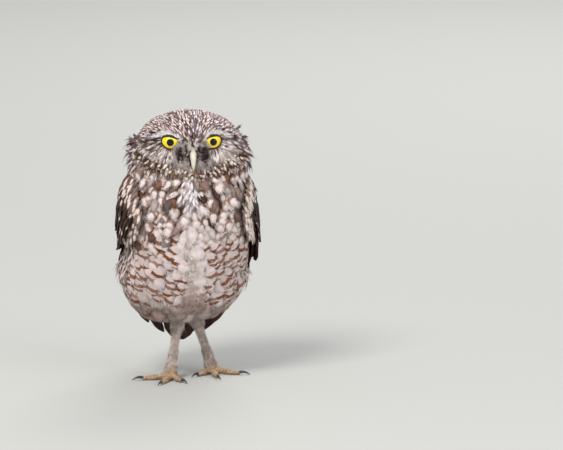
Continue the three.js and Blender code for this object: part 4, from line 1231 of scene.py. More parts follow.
def bridge_roots(rng):
    """Mottled feathers between the eyes, spreading up and outwards from the root of the bill."""
    count = BRIDGE_FEATHERS
    x = rng.uniform(-8.2, 8.2, count)
    z = rng.uniform(190.5, 203, count)
    keep = z < brow_height(x) + 2.0 - 0.1 * np.abs(x)
    x, z = x[keep], z[keep]
    count = len(x)
    beside_eye = smooth_step(np.abs(x), 4.5, 8) * (1 - smooth_step(z, 197, 201))
    mottle = patches(np.abs(x) / 1.4, z / 2.0, 35) + rng.normal(0, 0.3, count) - 0.5 * beside_eye
    pale = np.where(mottle > 0.55, rng.uniform(0.5, 0.95, count), 0.03)
    tone = np.where(mottle > 0.55, 0.8, np.where(mottle > 0.1, 0.7, -0.15)) - 0.4 * beside_eye
    length = rng.uniform(3.0, 4.6, count) * (1 - 0.3 * beside_eye)
    over_bill = (np.abs(x) < 4) & (z < 196.5)
    upward = np.where(over_bill, -1.0, np.interp(z, (190, 196, 202), (0.2, 0.8, 1.2)))
    lift = np.where(over_bill, rng.uniform(0.6, 1.0, count), rng.uniform(0.15, 0.4, count))
    return face_roots(x, z, x / 9, upward, lift, rng.normal(0, 0.3, count), length * 1.1, length, tone,
                      ground_mark(pale))


def ruff_roots(rng):
    """Rows that close the face below: cream and brown by turns, over a broken dark line."""
    sets = []
    for row, offset in enumerate(RUFF_ROWS):
        x = np.arange(-43, 43, RUFF_GAP)
        x = x + RUFF_GAP / 2 * (row % 2) + rng.uniform(-0.6, 0.6, len(x))
        wave = patches(x / 3.2, 0 * x + row / 2, 34)
        z = RUFF_LINE + RUFF_CURVE * x * x + offset + 0.7 * wave + rng.uniform(-0.5, 0.5, len(x))
        keep = (np.abs(x) < profile(HEAD_OUTLINE, 1, z) * 0.95) & (z < 190)
        x, z, wave = x[keep], z[keep], wave[keep]
        count = len(x)
        length = rng.uniform(4.5, 8, count)
        cream = np.where(rng.random(count) < 0.45 + 0.6 * wave, rng.uniform(0.55, 1, count), 0.05)
        if row in (1, 4):
            cream = cream * (rng.random(count) < 0.35)
        tone = np.where(rng.random(count) < 0.5, rng.uniform(-0.2, 0.2, count), rng.uniform(0.4, 1, count))
        mark = np.stack([0.8 * (rng.random(count) < 0.3), rng.uniform(-0.2, 1.0, count), cream], axis=-1)
        sets.append(face_roots(x, z, x / 30 + rng.normal(0, 0.2, count), np.full(count, -1.0),
                               rng.uniform(0.15, 0.55, count), rng.normal(0, 0.25, count),
                               length * rng.uniform(0.6, 1.0, count), length, tone, mark))
    return gather(*sets)


face_material = vane_material("face_feathers", (40, 25, 22), (138, 112, 102), (242, 230, 226), 0.85)
brow_material = vane_material("brow_feathers", (120, 98, 96), (178, 160, 160), (255, 250, 253), 0.85)
ruff_material = vane_material("ruff_feathers", (46, 26, 20), (150, 112, 84), (246, 232, 220), 0.85,
                              bar_colour=(40, 24, 20), band=(0.45, 0.66))
FACE_KINDS = feather_kinds("face_kind", 5, widths=(0.08, 0.2, 0.24, 0.18, 0.03), steps=3, arch=(0.14, 0.2),
                           thick=0.02, strands=5, strand_length=0.36, strand_width=0.025, splay=0.45)
BRISTLE_KINDS = feather_kinds("bristle_kind", 5, widths=(0.1, 0.1), steps=0, arch=(0.3, 0.35), thick=0.01,
                              strands=5, strand_length=0.9, strand_width=0.022, splay=0.45)
rng = np.random.default_rng(31)
plant("face_disc", both_sides(disc_roots, rng), FACE_KINDS, face_material)
plant("face_brow", both_sides(brow_roots, rng), FACE_KINDS, brow_material)
plant("lid_fringe", both_sides(fringe_roots, rng), FACE_KINDS, face_material)
plant("face_bridge", bridge_roots(rng), CROWN_KINDS, face_material)
plant("face_bristles", both_sides(lore_roots, rng), BRISTLE_KINDS, face_material)
plant("face_ruff", ruff_roots(rng), CROWN_KINDS, ruff_material)

# Wet tips and throat. Damp feathers cling together in dark pointed locks at the sides of the head,
# a thin grey streak stands on the forehead, and a tuft of white feathers shows below the ruff.
THROAT_X = 4.0
LOCKS = 72
STREAK_FEATHERS = 16
LOCK_KINDS = feather_kinds("lock_kind", 4, widths=(0.1, 0.17, 0.16, 0.1, 0.02), steps=5, arch=(0.2, 0.42),
                           thick=0.06, strands=3, strand_length=0.3, strand_width=0.02, splay=0.25)


def lock_roots(side, rng):
    count = LOCKS
    z = np.where(rng.random(count) < 0.65, rng.uniform(175, 196, count), rng.uniform(169, 202, count))
    spread = rng.normal(0, 0.22, count)
    turn = np.where(side > 0, 0.0, math.pi) + side * (spread + 0.08)
    place, normal, down = surface_frame(head_point, z, turn, np.full(count, HEAD_COAT))
    away = unit(place - BILL_ROOT)
    hang = 0.3 + 0.9 * (1 - smooth_step(z, 172, 190))
    lie, upright = laid(normal, unit(away + down * hang[:, None]), rng.uniform(0.3, 0.95, count),
                        rng.normal(0, 0.35, count))
    length = rng.uniform(8.5, 13.5, count)
    pale = np.where(rng.random(count) < 0.2, 0.6, 0.04)
    return root_set(place, lie, upright, body_seat(z, turn), length * 1.15, length,
                    rng.uniform(-0.3, 0.5, count), ground_mark(pale))


def streak_roots(rng):
    count = STREAK_FEATHERS
    z = np.linspace(202, 211, count)
    x = 2.6 + rng.normal(0, 0.5, count)
    length = np.full(count, 4.5)
    return face_roots(x, z, 0.1 * x, np.full(count, 1.0), np.full(count, 0.34), rng.normal(0, 0.1, count),
                      length * 0.4, length, np.full(count, 0.5), ground_mark(np.full(count, 0.35)))


def throat_roots(rng, form, low, high, count, spread):
    """White feathers that hang from under the ruff, spread about the middle of the throat."""
    z = rng.uniform(low, high, count)
    x = THROAT_X + rng.normal(0, 1, count) * spread
    turn = -np.arccos(np.clip((x - HEAD_X) / 42, -1, 1))
    place, normal, down = surface_frame(form, z, turn, np.full(count, 0.6))
    lie = unit(down + np.outer((x - THROAT_X) / 16, SIDEWAYS))
    lie, upright = laid(normal, lie, rng.uniform(0.15, 0.5, count), rng.normal(0, 0.25, count))
    length = rng.uniform(5, 8, count)
    mark = ground_mark(np.clip(rng.normal(0.8, 0.3, count), 0, 1))
    return root_set(place, lie, upright, body_seat(z, turn), length * 0.8, length, rng.random(count), mark)


streak_material = vane_material("streak_feathers", (70, 68, 78), (110, 110, 124), (190, 188, 198), 0.8)
throat_material = vane_material("throat_feathers", (110, 92, 92), (168, 152, 152), (236, 228, 231), 0.9)
plant("head_locks", both_sides(lock_roots, rng), LOCK_KINDS, crown_material)
plant("forehead_streak", streak_roots(rng), FACE_KINDS, streak_material)
throat = gather(throat_roots(rng, head_point, 163, 172, 90, 4.6),
                throat_roots(rng, torso_point, 148, 167, 46, 2.3))
plant("throat_tuft", throat, CROWN_KINDS, throat_material)

# Breast, belly, flanks and back. Broad soft feathers in staggered rows hang down the body and part
# along a pale line on the breast. The breast is brown with white spots, the belly white with bars.
PARTING_X = 6.4
PARTING_CLIMB = -0.036
PARTING_FROM = 60
BELLY_TOP = 118
LOWER_ROWS = {"low": 56, "high": 134, "row_gap": 5.2, "side_gap": 6.6, "length_share": 1.0}
UPPER_ROWS = {"low": 134, "high": 171, "row_gap": 4.4, "side_gap": 4.8, "length_share": 0.82}
NECK_ROWS = {"low": 160, "high": 174, "row_gap": 3.8, "side_gap": 4.2, "length_share": 0.72}


def parting_x(z):
    return PARTING_X + PARTING_CLIMB * (z - PARTING_FROM)


def body_roots(form, low, high, row_gap, side_gap, length_share, seed):
    """Roots of the body feathers with their marks, then the outward direction and height of each."""
    rng = np.random.default_rng(seed)
    z, turn = rows_on(form, low, high, row_gap, side_gap, BODY_COAT, rng, 0.32)
    place, normal, down = surface_frame(form, z, turn, BODY_COAT if form is torso_point else 1.0)
    count = len(z)
    front = smooth_step(-normal[:, 1], 0.0, 0.35)
    beside = place[:, 0] - parting_x(z)
    high_breast = smooth_step(z, 110, 150)
    yaw = -0.42 * np.tanh(beside / 4) * bump(beside, 38) * front
    yaw = yaw + rng.normal(0, 0.12, count) * (1 + high_breast)
    yaw = yaw + 0.35 * patches(beside / 9, z / 9, seed + 5) * (0.3 + high_breast)
    lift = rng.normal(0.18, 0.05, count) + high_breast * rng.uniform(-0.1, 0.25, count)
    lie, upright = laid(normal, down, lift, yaw)
    border = 122 - 10 * smooth_step(np.abs(beside), 18, 45)
    over_border = z - border + rng.normal(0, 6, count) + 9 * patches(beside / 11, 0 * z, 45)
    chest = smooth_step(over_border, -10, 16)
    low_belly = 1 - smooth_step(z + rng.normal(0, 3, count), 60, 80)
    is_front = rng.random(count) < front
    on_chest = rng.random(count) < chest
    cluster = patches(beside / 5, z / 5, seed + 7)
    near_parting = bump(beside, 9)
    bar_chance = 0.95 + 0.25 * cluster - 0.8 * near_parting - low_belly
    barred = is_front & ~on_chest & (rng.random(count) < bar_chance)
    flank = smooth_step(np.abs(normal[:, 0]), 0.75, 0.95) * (1 - smooth_step(z, 96, 108))
    lumps = 0.25 * bump(z - 122, 16)
    spotted = is_front & on_chest & (rng.random(count) < 0.66 + lumps + 0.45 * cluster)
    spotted |= ~is_front & (rng.random(count) < 0.75)
    ground = np.where(is_front & ~on_chest, rng.normal(0.86, 0.07, count), rng.normal(0.2, 0.16, count))
    ground = np.where(is_front & on_chest & (rng.random(count) < 0.08 + lumps), 0.75, ground)
    ground = ground + 0.7 * bump(beside, 3.5) * front + 0.2 * bump(beside, 12) * front * (1 - high_breast)
    ground = ground + (0.8 - ground) * flank * (rng.random(count) < 0.8)
    # Painted shade: the feathers of the lower belly are darkened, for the shadow under the belly.
    ground = ground * (1 - 0.62 * low_belly)
    spot = spotted * rng.uniform(0.8, 1, count) * np.where(is_front, 1, 0.85)
    length = rng.uniform(11, 15, count) * length_share
    wide = length * rng.uniform(0.75, 1.15, count) * np.where(is_front, 1.0, 0.85)
    tone = rng.random(count)
    mark = np.stack([spot, barred * rng.uniform(0.75, 1.1, count), np.clip(ground, 0, 1)], axis=-1)
    return root_set(place, lie, upright, body_seat(z, turn), wide, length, tone, mark), normal, z


body_material = vane_material("body_feathers", (54, 30, 22), (126, 86, 66), (234, 220, 218), 0.9,
                              spot=(2.5, 0.84, 2.5), bar_colour=(124, 74, 44), band=(0.54, 0.74), root=0.3,
                              streaks=0.26)
BELLY_KINDS = feather_kinds("belly_kind", 6, widths=(0.2, 0.48, 0.68, 0.7, 0.52, 0.2), steps=5,
                            arch=(0.24, 0.46), thick=0.06, strands=32, strand_length=0.27,
                            strand_width=0.019, splay=0.8)
BREAST_SHAPE = {"widths": (0.2, 0.44, 0.56, 0.5, 0.34, 0.1), "steps": 5, "arch": (0.2, 0.4), "thick": 0.06,
                "strand_length": 0.3, "splay": 0.6}
BREAST_KINDS = feather_kinds("breast_kind", 6, strands=26, strand_width=0.019, **BREAST_SHAPE)
BACK_KINDS = feather_kinds("back_kind", 6, strands=12, strand_width=0.03, **BREAST_SHAPE)
lower_body = body_roots(torso_point, seed=41, **LOWER_ROWS)
upper_body = body_roots(torso_point, seed=42, **UPPER_ROWS)
neck = body_roots(head_point, seed=43, **NECK_ROWS)
neck_x = neck[0]["place"][:, 0] - HEAD_X
under_ruff = neck[2] < RUFF_LINE - 0.5 + RUFF_CURVE * neck_x ** 2
neck = [chosen(neck[0], under_ruff), neck[1][under_ruff], neck[2][under_ruff]]
body = gather(lower_body[0], upper_body[0], neck[0])
body_normal = np.concatenate([lower_body[1], upper_body[1], neck[1]])
body_z = np.concatenate([lower_body[2], upper_body[2], neck[2]])
facing_front = body_normal[:, 1] < 0.15
on_belly = facing_front & (body_z <= BELLY_TOP)
plant("breast_coat", chosen(body, facing_front & ~on_belly), BREAST_KINDS, body_material)
plant("belly_coat", chosen(body, on_belly), BELLY_KINDS, body_material)
plant("back_coat", chosen(body, ~facing_front), BACK_KINDS, body_material)

# Down and loose feathers. White tufts of long barbs hang below the belly, clothe the thighs to the
# heel and show between the parted feathers of the breast, and loose wisps hang at the flanks.
VENT_ROWS = (46.5, 72)
VENT_ROW_GAP = 2.15
VENT_SIDE_GAP = 2.7
THIGH_TUFTS = 330
PARTING_TUFTS = 520
PARTING_LENGTH = 66
DOWN_KINDS = feather_kinds("down_kind", 5, widths=(0.1, 0.1), steps=0, arch=(0.12, 0.2), thick=0.01,
                           strands=8, strand_length=0.85, strand_width=0.024, splay=0.42)
down_material = vane_material("down_feathers", (146, 120, 108), (190, 168, 158), (244, 232, 226), 0.95)
parting_material = vane_material("parting_feathers", (164, 130, 118), (220, 192, 182), (255, 242, 236), 0.95)


def swept_roots(stations, low, high, count, seed):
    """Places spread over a swept form between two shares of its run, with their outward direction."""
    rng = np.random.default_rng(seed)
    places = np.array([s[0] for s in stations], float)
    share = rng.uniform(low, high, count) * (len(stations) - 1)
    index = np.arange(len(stations))

    def middle_at(share):
        return np.stack([np.interp(share, index, places[:, k]) for k in range(3)], axis=-1)

    ahead = unit(middle_at(share + 0.1) - middle_at(share - 0.1))
    across = unit(SIDEWAYS - ahead * ahead[:, :1])
    upright = np.cross(ahead, across)
    turn = rng.uniform(0, 2 * np.pi, count)
    wide = np.interp(share, index, [s[1] for s in stations])
    high_half = np.interp(share, index, [s[2] for s in stations])
    offset = across * (np.cos(turn) * wide)[:, None] + upright * (np.sin(turn) * high_half)[:, None]
    return rng, middle_at(share) + offset, unit(offset), -ahead, turn


def tuft_roots(rng, place, normal, lie, lift, yaw_spread, length, width_share, pale):
    """Roots of tufts without spots or bars, turned from their lie by a random yaw."""
    count = len(place)
    lie, upright = laid(normal, lie, lift, rng.normal(0, yaw_spread, count))
    seat = body_seat(place[:, 2], np.arctan2(place[:, 1], place[:, 0]))
    return root_set(place, lie, upright, seat, length * width_share, length, rng.random(count),
                    ground_mark(np.clip(pale, 0, 1)))


rng = np.random.default_rng(51)
z, turn = rows_on(torso_point, *VENT_ROWS, VENT_ROW_GAP, VENT_SIDE_GAP, BODY_COAT, rng)
keep = rng.random(len(z)) < 1 - 0.8 * smooth_step(z, 60, 72)
z, turn = z[keep], turn[keep]
place, normal, down = surface_frame(torso_point, z, turn, BODY_COAT - 1.5 * smooth_step(z, 52, 62))
count = len(z)
# The vent's white tufts are given a low paleness: painted shade under the belly.
vent = tuft_roots(rng, place, normal, down * 0.6 - UPWARD * 0.9, rng.uniform(0.04, 0.26, count), 0.25,
                  rng.uniform(7, 10.5, count), 0.9, rng.normal(0.3, 0.25, count))
thigh_sets = []
count = THIGH_TUFTS
for k, leg in enumerate(LEGS.values()):
    rng, place, normal, lie, turn = swept_roots(thigh_stations(leg, THIGH_COAT), 0.12, 0.9, count, 52 + k)
    thigh_sets.append(tuft_roots(rng, place, normal, lie, rng.uniform(0.08, 0.3, count), 0.2,
                                 rng.uniform(6, 9, count), 0.8, rng.normal(0.62, 0.22, count)))
# The parting's tufts lie deeper than the body feathers, which overlap them from both sides
rng = np.random.default_rng(55)
count = PARTING_TUFTS
z = PARTING_FROM + PARTING_LENGTH * rng.uniform(0, 1, count)
spread = 0.5 + 0.7 * (1 - smooth_step(z, 90, 122)) + 3.4 * (1 - smooth_step(z, 60, 90))
x = parting_x(z) + rng.normal(0, 1, count) * spread
turn = -np.arccos(np.clip((x - lean_at(z)) / (profile(TORSO_OUTLINE, 1, z) - 0.8), -1, 1))
place, normal, down = surface_frame(torso_point, z, turn, 1.0 + 1.1 * smooth_step(z, 64, 84))
outward = np.tanh((x - parting_x(z)) / 3)[:, None] * (0.4 * SIDEWAYS)
parting = tuft_roots(rng, place, normal, down + outward, rng.uniform(0.0, 0.16, count), 0.24,
                     rng.uniform(6, 10, count), 0.8,
                     rng.normal(1.0, 0.16, count) - 0.8 * (1 - smooth_step(z, 62, 96)))


def wisp_roots(side, count, low, high, seed):
    """Loose flank feathers that hang out past the outline beside and below the wing."""
    rng = np.random.default_rng(seed)
    z = rng.uniform(low, high, count)
    turn = -math.pi / 2 + side * (math.pi / 2 + rng.uniform(-0.5, 0.12, count))
    place, normal, down = surface_frame(torso_point, z, turn, np.full(count, 2.6))
    roots = tuft_roots(rng, place, normal, down, rng.uniform(0.2, 0.65, count), 0.3,
                       rng.uniform(7, 10.5, count), 0.5, rng.normal(0.7, 0.2, count))
    roots["mark"][:, 1] = (rng.random(count) < 0.5) * rng.uniform(0.3, 0.9, count)
    return roots


wisps = gather(wisp_roots(-1, 110, 84, 116, 56), wisp_roots(1, 12, 84, 96, 57))
plant("flank_wisps", wisps, BREAST_KINDS, body_material)
plant("vent_down", gather(vent, *thigh_sets), DOWN_KINDS, down_material)
plant("parting_down", parting, DOWN_KINDS, parting_material)

# Wings. Each is folded against the side: a shoulder of small brown coverts, then rows of longer
# coverts with pale spots, the secondaries and the long dark primaries, overlapping like slats.
CLOAK = (
    (14, 18, 36, 71.5), (20, 25, 31, 70.5), (27, 33, 24, 69.5), (35, 39, 17, 68.5), (50, 44.5, 2, 66.5),
    (65, 49, -16, 64.5), (80, 53.4, -36, 62.5), (90, 56, -42, 61.5), (100, 58.2, -46, 60.5),
    (120, 58, -49.2, 58), (140, 56.6, -50.8, 53.5), (155, 54, -49.5, 48), (168, 48, -45, 41),
)
WING_FRONT_SHIFT = 7
WING_EDGE_HEIGHT = 99.5
WING_EDGE_DROP = 6.5
# The front and rear edges of the shoulder: heights, with a turn in degrees.
WING_FRONT = ((104, 0), (110, -14), (118, -27), (125, -36), (140, -43), (155, -37), (166, -20))
WING_REAR = ((104, 84), (120, 82), (140, 77), (155, 67), (166, 50))
WING_TIP_TURN = 60.5
WING_TIP_SHIFT = 5.5
WING_SPREAD = 13.5
WING_SPREAD_SHIFT = 3.5
VANE_SHAPE = (
    (0, 0.35), (0.15, 0.62), (0.3, 0.85), (0.6, 1), (0.82, 0.9), (0.92, 0.68), (0.98, 0.36), (1, 0.1),
)
VANE_COLUMNS = ((-1, 0), (-0.55, 1), (0, 1), (0.55, 1), (1, 0), (0.55, -1), (0, -1), (-0.55, -1))
VANE_STATIONS = 26
VANE_TILT = 0.9
VANE_SPLITS = 3
VANE_HALF_THICK = 0.13
SHAFT_RISE = 0.22
TILE_EDGE = 0.04
SHOULDER_ROWS = (118, 167)
SHOULDER_ROW_GAP = 3.0
SHOULDER_SIDE_GAP = 3.6
SHOULDER_COAT = 1.6


def cloak_point(z, turn, inset):
    """Point on the form that the folded wings lie on."""
    x, y = oval_point(CLOAK, z, turn, inset)
    return np.stack([body_x(x, z), y, z + 0 * x], axis=-1)


def wing_turn(side, degrees):
    return np.radians(degrees) if side > 0 else math.pi - np.radians(degrees)


def long_vane(centre, normal, feather, rng):
    """Closed strip along a line of points, with a raised shaft and a few splits in its edges."""
    u = np.linspace(0, 1, len(centre))
    ahead = unit(np.gradient(centre, axis=0))
    across = unit(np.cross(normal, ahead))
    half_width = feather["width"] / 2 * np.interp(u, *np.array(VANE_SHAPE).T)
    lift = np.interp(u, (0, 0.3, 1), feather["lift"])
    edges = []
    for edge in range(2):
        split = np.ones(len(u))
        for notch in rng.uniform(0.35, 0.97, VANE_SPLITS):
            split *= 1 - rng.uniform(0.1, 0.34) * bump(u - notch, 0.022)
        edges.append(split)
    points = []
    marks = []
    for i in range(len(u)):
        for column, up in VANE_COLUMNS:
            out = column * half_width[i] * (edges[0][i] if column > 0 else edges[1][i])
            height = lift[i] + feather["tilt"] * column - feather["camber"] * column ** 2 * half_width[i] / 5
            height += up * (VANE_HALF_THICK + (SHAFT_RISE * (1 - u[i]) if column == 0 else 0))
            points.append(centre[i] + across[i] * out + normal[i] * height)
            marks.append((0.5 + 0.5 * out / (feather["width"] / 2), u[i]))
    return np.array(points), np.array(marks)


def vane_piece(name, feathers, finish, replaced):
    """One mesh from many long vanes. Each keeps its own tile of the bake map."""
    points, coordinates, tones, marks = zip(*feathers)
    size = len(points[0])
    sides = len(VANE_COLUMNS)
    grid = math.ceil(math.sqrt(len(feathers)))
    faces = []
    tiles = []
    for k in range(len(feathers)):
        faces += ring_faces(size // sides, sides, k * size)
        corner = np.array([k % grid, k // grid]) / grid
        tiles.append(corner + (TILE_EDGE + (1 - 2 * TILE_EDGE) * coordinates[k]) / grid)
    piece = mesh_piece(name, np.concatenate(points), faces, finish)
    mesh = piece.data
    map_corners(mesh, "vane", np.concatenate(coordinates))
    map_corners(mesh, "OFBake", np.concatenate(tiles))
    tones = np.repeat(np.array(tones, np.float32), size)
    marks = np.repeat(np.array(marks, np.float32), size, axis=0)
    mesh.attributes.new("tone", "FLOAT", "POINT").data.foreach_set("value", tones)
    mesh.attributes.new("mark", "FLOAT_VECTOR", "POINT").data.foreach_set("vector", marks.ravel())
    shade_smooth(piece)
    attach(piece, "root")
    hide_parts(*replaced)


def wing_rows(side):
    """Rows of long vanes, with the height and turn of the first and last root, then of their tips."""
    fore = side * WING_FRONT_SHIFT
    edge = WING_EDGE_HEIGHT - side * WING_EDGE_DROP
    tip_turn = WING_TIP_TURN - side * WING_TIP_SHIFT
    outer_turn = tip_turn - WING_SPREAD + side * WING_SPREAD_SHIFT
    flight = {"camber": 0.25, "mark": (7, 0.3)}
    covert = {"camber": 0.4, "mark": (2.3, 0.85)}
    rows = (
        (flight, 1, 9, (-2.2, -1, 0), (110, 8), (110, 8), (33, outer_turn), (33, outer_turn)),
        (flight, 9, 10.5, (-2.2, -1, 0), (116, 34), (113, 12), (68, 70), (24.5, tip_turn)),
        (flight, 10, 12, (-2.2, -1, 0), (116, 72), (115, 38), (78, 80), (69, 68)),
        (covert, 4, 11, (-1.4, 1.1, 1.6), (124, 79), (122, 66), (88, 81), (80, 69)),
        (covert, 8, 9, (-1.4, 1.1, 2.0), (133, 6), (130, fore - 26), (96, 30), (edge, fore + 2)),
        (covert, 10, 11, (-1.4, 1.1, 2.0), (138, 73), (136, 6), (104, 77), (100, 27)),
        (covert, 12, 11, (-1.4, 1.1, 2.4), (151, 66), (149, fore - 25), (124, 72), (119, fore - 12)),
        (covert, 3, 7, (-1.4, 2.6, 3.4), (140, fore - 24), (139, fore - 31), (109, fore - 8),
         (113, fore - 16)),
        (covert, 8, 11, (-1.4, 2.4, 3.8), (160, 58), (159, 16), (112, 78), (121, 32)),
    )
    keys = ("count", "width", "lift", "first_root", "last_root", "first_tip", "last_tip")
    return [{**kind, **dict(zip(keys, row))} for kind, *row in rows]


def wing_feathers(side, seed):
    rng = np.random.default_rng(seed)
    feathers = []
    share = np.linspace(0, 1, VANE_STATIONS)
    for row in wing_rows(side):
        count = row["count"]
        for i in range(count):
            u = i / max(count - 1, 1)
            ends = []
            for end in ("root", "tip"):
                first = np.array(row["first_" + end], float)
                last = np.array(row["last_" + end], float)
                ends.append(first + (last - first) * u + rng.normal(0, (0.8, 0.7)) * (count > 1))
            root, tip = ends
            z = root[0] + (tip[0] - root[0]) * share
            turn = wing_turn(side, root[1] + (tip[1] - root[1]) * share)
            centre, normal = surface_frame(cloak_point, z, turn, 0)[:2]
            feather = {**row, "width": row["width"] * rng.uniform(0.94, 1.06), "tilt": -VANE_TILT * side}
            points, coordinates = long_vane(centre, normal, feather, rng)
            strength = row["mark"][1] * (rng.random() < 0.8)
            feathers.append((points, coordinates, rng.random(), (row["mark"][0], strength, 0)))
    return feathers


def flight_material(name, dark, mid, pale):
    """Finish of long vanes. mark: x counts the rows of pale spots, y is how strong they are."""
    finish, shader, wire = new_finish(name, {"Roughness": 0.62, "Specular IOR Level": 0.2})
    across, along, mark, tone = vane_wires(wire)[1:]
    fine = wire.noise(object_place(wire), 380.0, 2.0)
    ripple = fine - 0.5
    count = along * mark.part(0) + across * 0.5 + ripple * 0.5 + tone * 3.7
    beat = count.maths("FRACT", count) - 0.62
    beat = beat.maths("ABSOLUTE", beat)
    spot = (1 - beat.ramp(0.08, 0.2)) * across.ramp(0.1, 0.2) * (1 - across.ramp(0.34, 0.46))
    spot = spot * along.ramp(0.3, 0.4) * (1 - along.ramp(0.78, 0.84)) * fine.ramp(0.34, 0.5)
    ground = wire.tint(tone + ripple * 0.5, dark, mid)
    edge = across.ramp(0.40, 0.5)
    ground = wire.tint(edge * 0.3, ground, RUFOUS)
    spotted = wire.tint(spot * mark.part(1), ground, pale)
    shaft = 1 - across.ramp(0.0, 0.03)
    shaded = wire.tint(shaft * 0.4, spotted, NEAR_BLACK)
    slope = along * 160.0 - across * 90.0
    barbs = slope.maths("SINE", slope)
    connect(shader, "Base Color", shaded)
    roughen(shader, 0.4, 0.00025, barbs * 0.5 + fine)
    return finish


flight_finish = flight_material("flight_feathers", (34, 20, 15), (82, 54, 42), (236, 218, 206))
covert_material = vane_material("wing_coverts", (44, 24, 18), (106, 72, 58), (240, 226, 220), 0.8,
                                spot=(4.2, 0.8, 2.4))
COVERT_KINDS = feather_kinds("covert_kind", 5, widths=(0.16, 0.38, 0.48, 0.44, 0.3, 0.08), steps=4,
                             arch=(0.12, 0.24), thick=0.06, strands=10, strand_length=0.18,
                             strand_width=0.024, splay=0.5)


def shoulder_roots(side, seed):
    """Roots of the small coverts that cover the wing's fleshy part."""
    rng = np.random.default_rng(seed)
    fore = side * WING_FRONT_SHIFT
    z = []
    degrees = []
    for row, height in enumerate(np.arange(*SHOULDER_ROWS, SHOULDER_ROW_GAP)):
        low = float(profile(WING_FRONT, 1, height)) + fore + 1
        high = float(profile(WING_REAR, 1, height))
        count = int((high - low) / SHOULDER_SIDE_GAP)
        spots = low + (high - low) * (np.arange(count) + 0.5 * (row % 2)) / count
        degrees.append(spots + rng.uniform(-1.2, 1.2, count))
        z.append(np.full(count, height) + rng.uniform(-1, 1, count))
    z = np.concatenate(z)
    degrees = np.concatenate(degrees)
    turn = wing_turn(side, degrees)
    place, normal = surface_frame(cloak_point, z, turn, SHOULDER_COAT)[:2]
    onward = unit(cloak_point(z - 1, wing_turn(side, degrees + 0.55), SHOULDER_COAT) - place)
    count = len(z)
    lie, upright = laid(normal, onward, rng.normal(0.2, 0.05, count), rng.normal(0, 0.12, count))
    front_edge = bump(degrees - (profile(WING_FRONT, 1, z) + fore), 14 + 4 * side)
    spotted = rng.random(count) < 0.38 + 0.1 * side + 0.5 * front_edge
    length = rng.uniform(8.5, 10.5, count)
    tone = rng.random(count)
    mark = np.stack([spotted * rng.uniform(0.7, 1, count), 0 * z, 0.03 + 0.15 * front_edge], axis=-1)
    return root_set(place, lie, upright, body_seat(z, turn), length * 0.85, length, tone, mark)


for side, name in ((1, "left"), (-1, "right")):
    vanes = wing_feathers(side, 60 + side)
    vane_piece("wing_vanes_" + name, vanes, flight_finish, ("wing_" + name,))
    coverts = shoulder_roots(side, 70 + side)
    plant("wing_coverts_" + name, coverts, COVERT_KINDS, covert_material)

# Tail. Twelve brown feathers with pale bars lie like a low roof behind the legs, between a set of
# coverts over their roots and a set of longer coverts below them.
TAIL_ROOT = (38, 90)
TAIL_TIP = (67, 18)
TAIL_FEATHERS = 12
TAIL_ROOF = 0.85
TAIL_COVERTS = (
    {"count": 9, "start": 20, "end": 56, "width": 10, "lift": (0.4, 1.6, 2.2), "splay": 9},
    {"count": 8, "start": 36, "end": 62, "width": 9, "lift": (-6, -7, -7.4), "splay": 8},
)


def tail_line(reach, across, lift):
    """Points along the tail's plane, at a reach from its root, sideways and raised."""
    run = np.array([0, TAIL_TIP[0] - TAIL_ROOT[0], TAIL_TIP[1] - TAIL_ROOT[1]], float)
    ahead = run / np.linalg.norm(run)
    normal = np.cross(SIDEWAYS, ahead)
    start = np.array([lean_at(LEAN_FROM), TAIL_ROOT[0], TAIL_ROOT[1]])
    places = start + np.outer(reach, ahead) + np.outer(across, SIDEWAYS) + np.outer(lift, normal)
    return places, np.tile(normal, (len(places), 1))


rng = np.random.default_rng(80)
tail_feathers = []
tail_length = math.dist(TAIL_ROOT, TAIL_TIP)
share = np.linspace(0, 1, VANE_STATIONS)
middle = (TAIL_FEATHERS - 1) / 2
for i in range(TAIL_FEATHERS):
    place = (i - middle) / middle
    stack = -TAIL_ROOF * math.floor(abs(i - middle) + 0.5) - (TAIL_ROOF / 2 if i > middle else 0)
    reach = 4 + (tail_length - 4 - 9 * place ** 2 - rng.random()) * share
    centre, normal = tail_line(reach, place * (5 + 4 * share), np.full(VANE_STATIONS, stack))
    feather = {"width": 11.5, "tilt": 0, "lift": (0, 0, 0), "camber": 0.3}
    tail_feathers.append((*long_vane(centre, normal, feather, rng), rng.random(), (6, 0.4, 0)))
for row in TAIL_COVERTS:
    start = row["start"]
    for i in range(row["count"]):
        place = 2 * i / (row["count"] - 1) - 1
        over = 0.5 * (i % 2) - abs(place) * (2 if row["lift"][0] > 0 else 0)
        reach = start + (row["end"] - 5 * abs(place) - 3 * rng.random() - start) * share
        across = place * (7 + (row["splay"] - 7) * share)
        centre, normal = tail_line(reach, across, np.full(VANE_STATIONS, over))
        feather = {**row, "tilt": 0, "camber": 0.5}
        tail_feathers.append((*long_vane(centre, normal, feather, rng), rng.random(), (4, 0.7, 0)))
vane_piece("tail_vanes", tail_feathers, flight_finish, ("tail",))

# Legs and feet. The long tarsi are pale and thinly clad in bristle-like feathers; the toes are
# ochre, rough with scales, and end in dark claws that arch to the ground.
CLAW_ROOT_RADIUS = 1.25
FOOT_VOXEL = 0.00045
FOOT_SMOOTHING = 3
SCUTE_GAP = 2.1
SHANK_STATIONS = 30
TOE_STATIONS = 56
CLAW_STATIONS = 26
CLAW_SIDES = 20
BRISTLES = 620
CUFF_TUFTS = 190
# Knots begin with how far along they lie. Those of the shank then have a radius, those of a toe a
# radius and a height, and those of a claw a height and a thickness.
TARSUS_SHAPE = ((-0.06, 4.6), (0.06, 4.6), (0.24, 3.3), (0.6, 3.0), (0.85, 3.9), (1, 4.4), (1.08, 4.4))
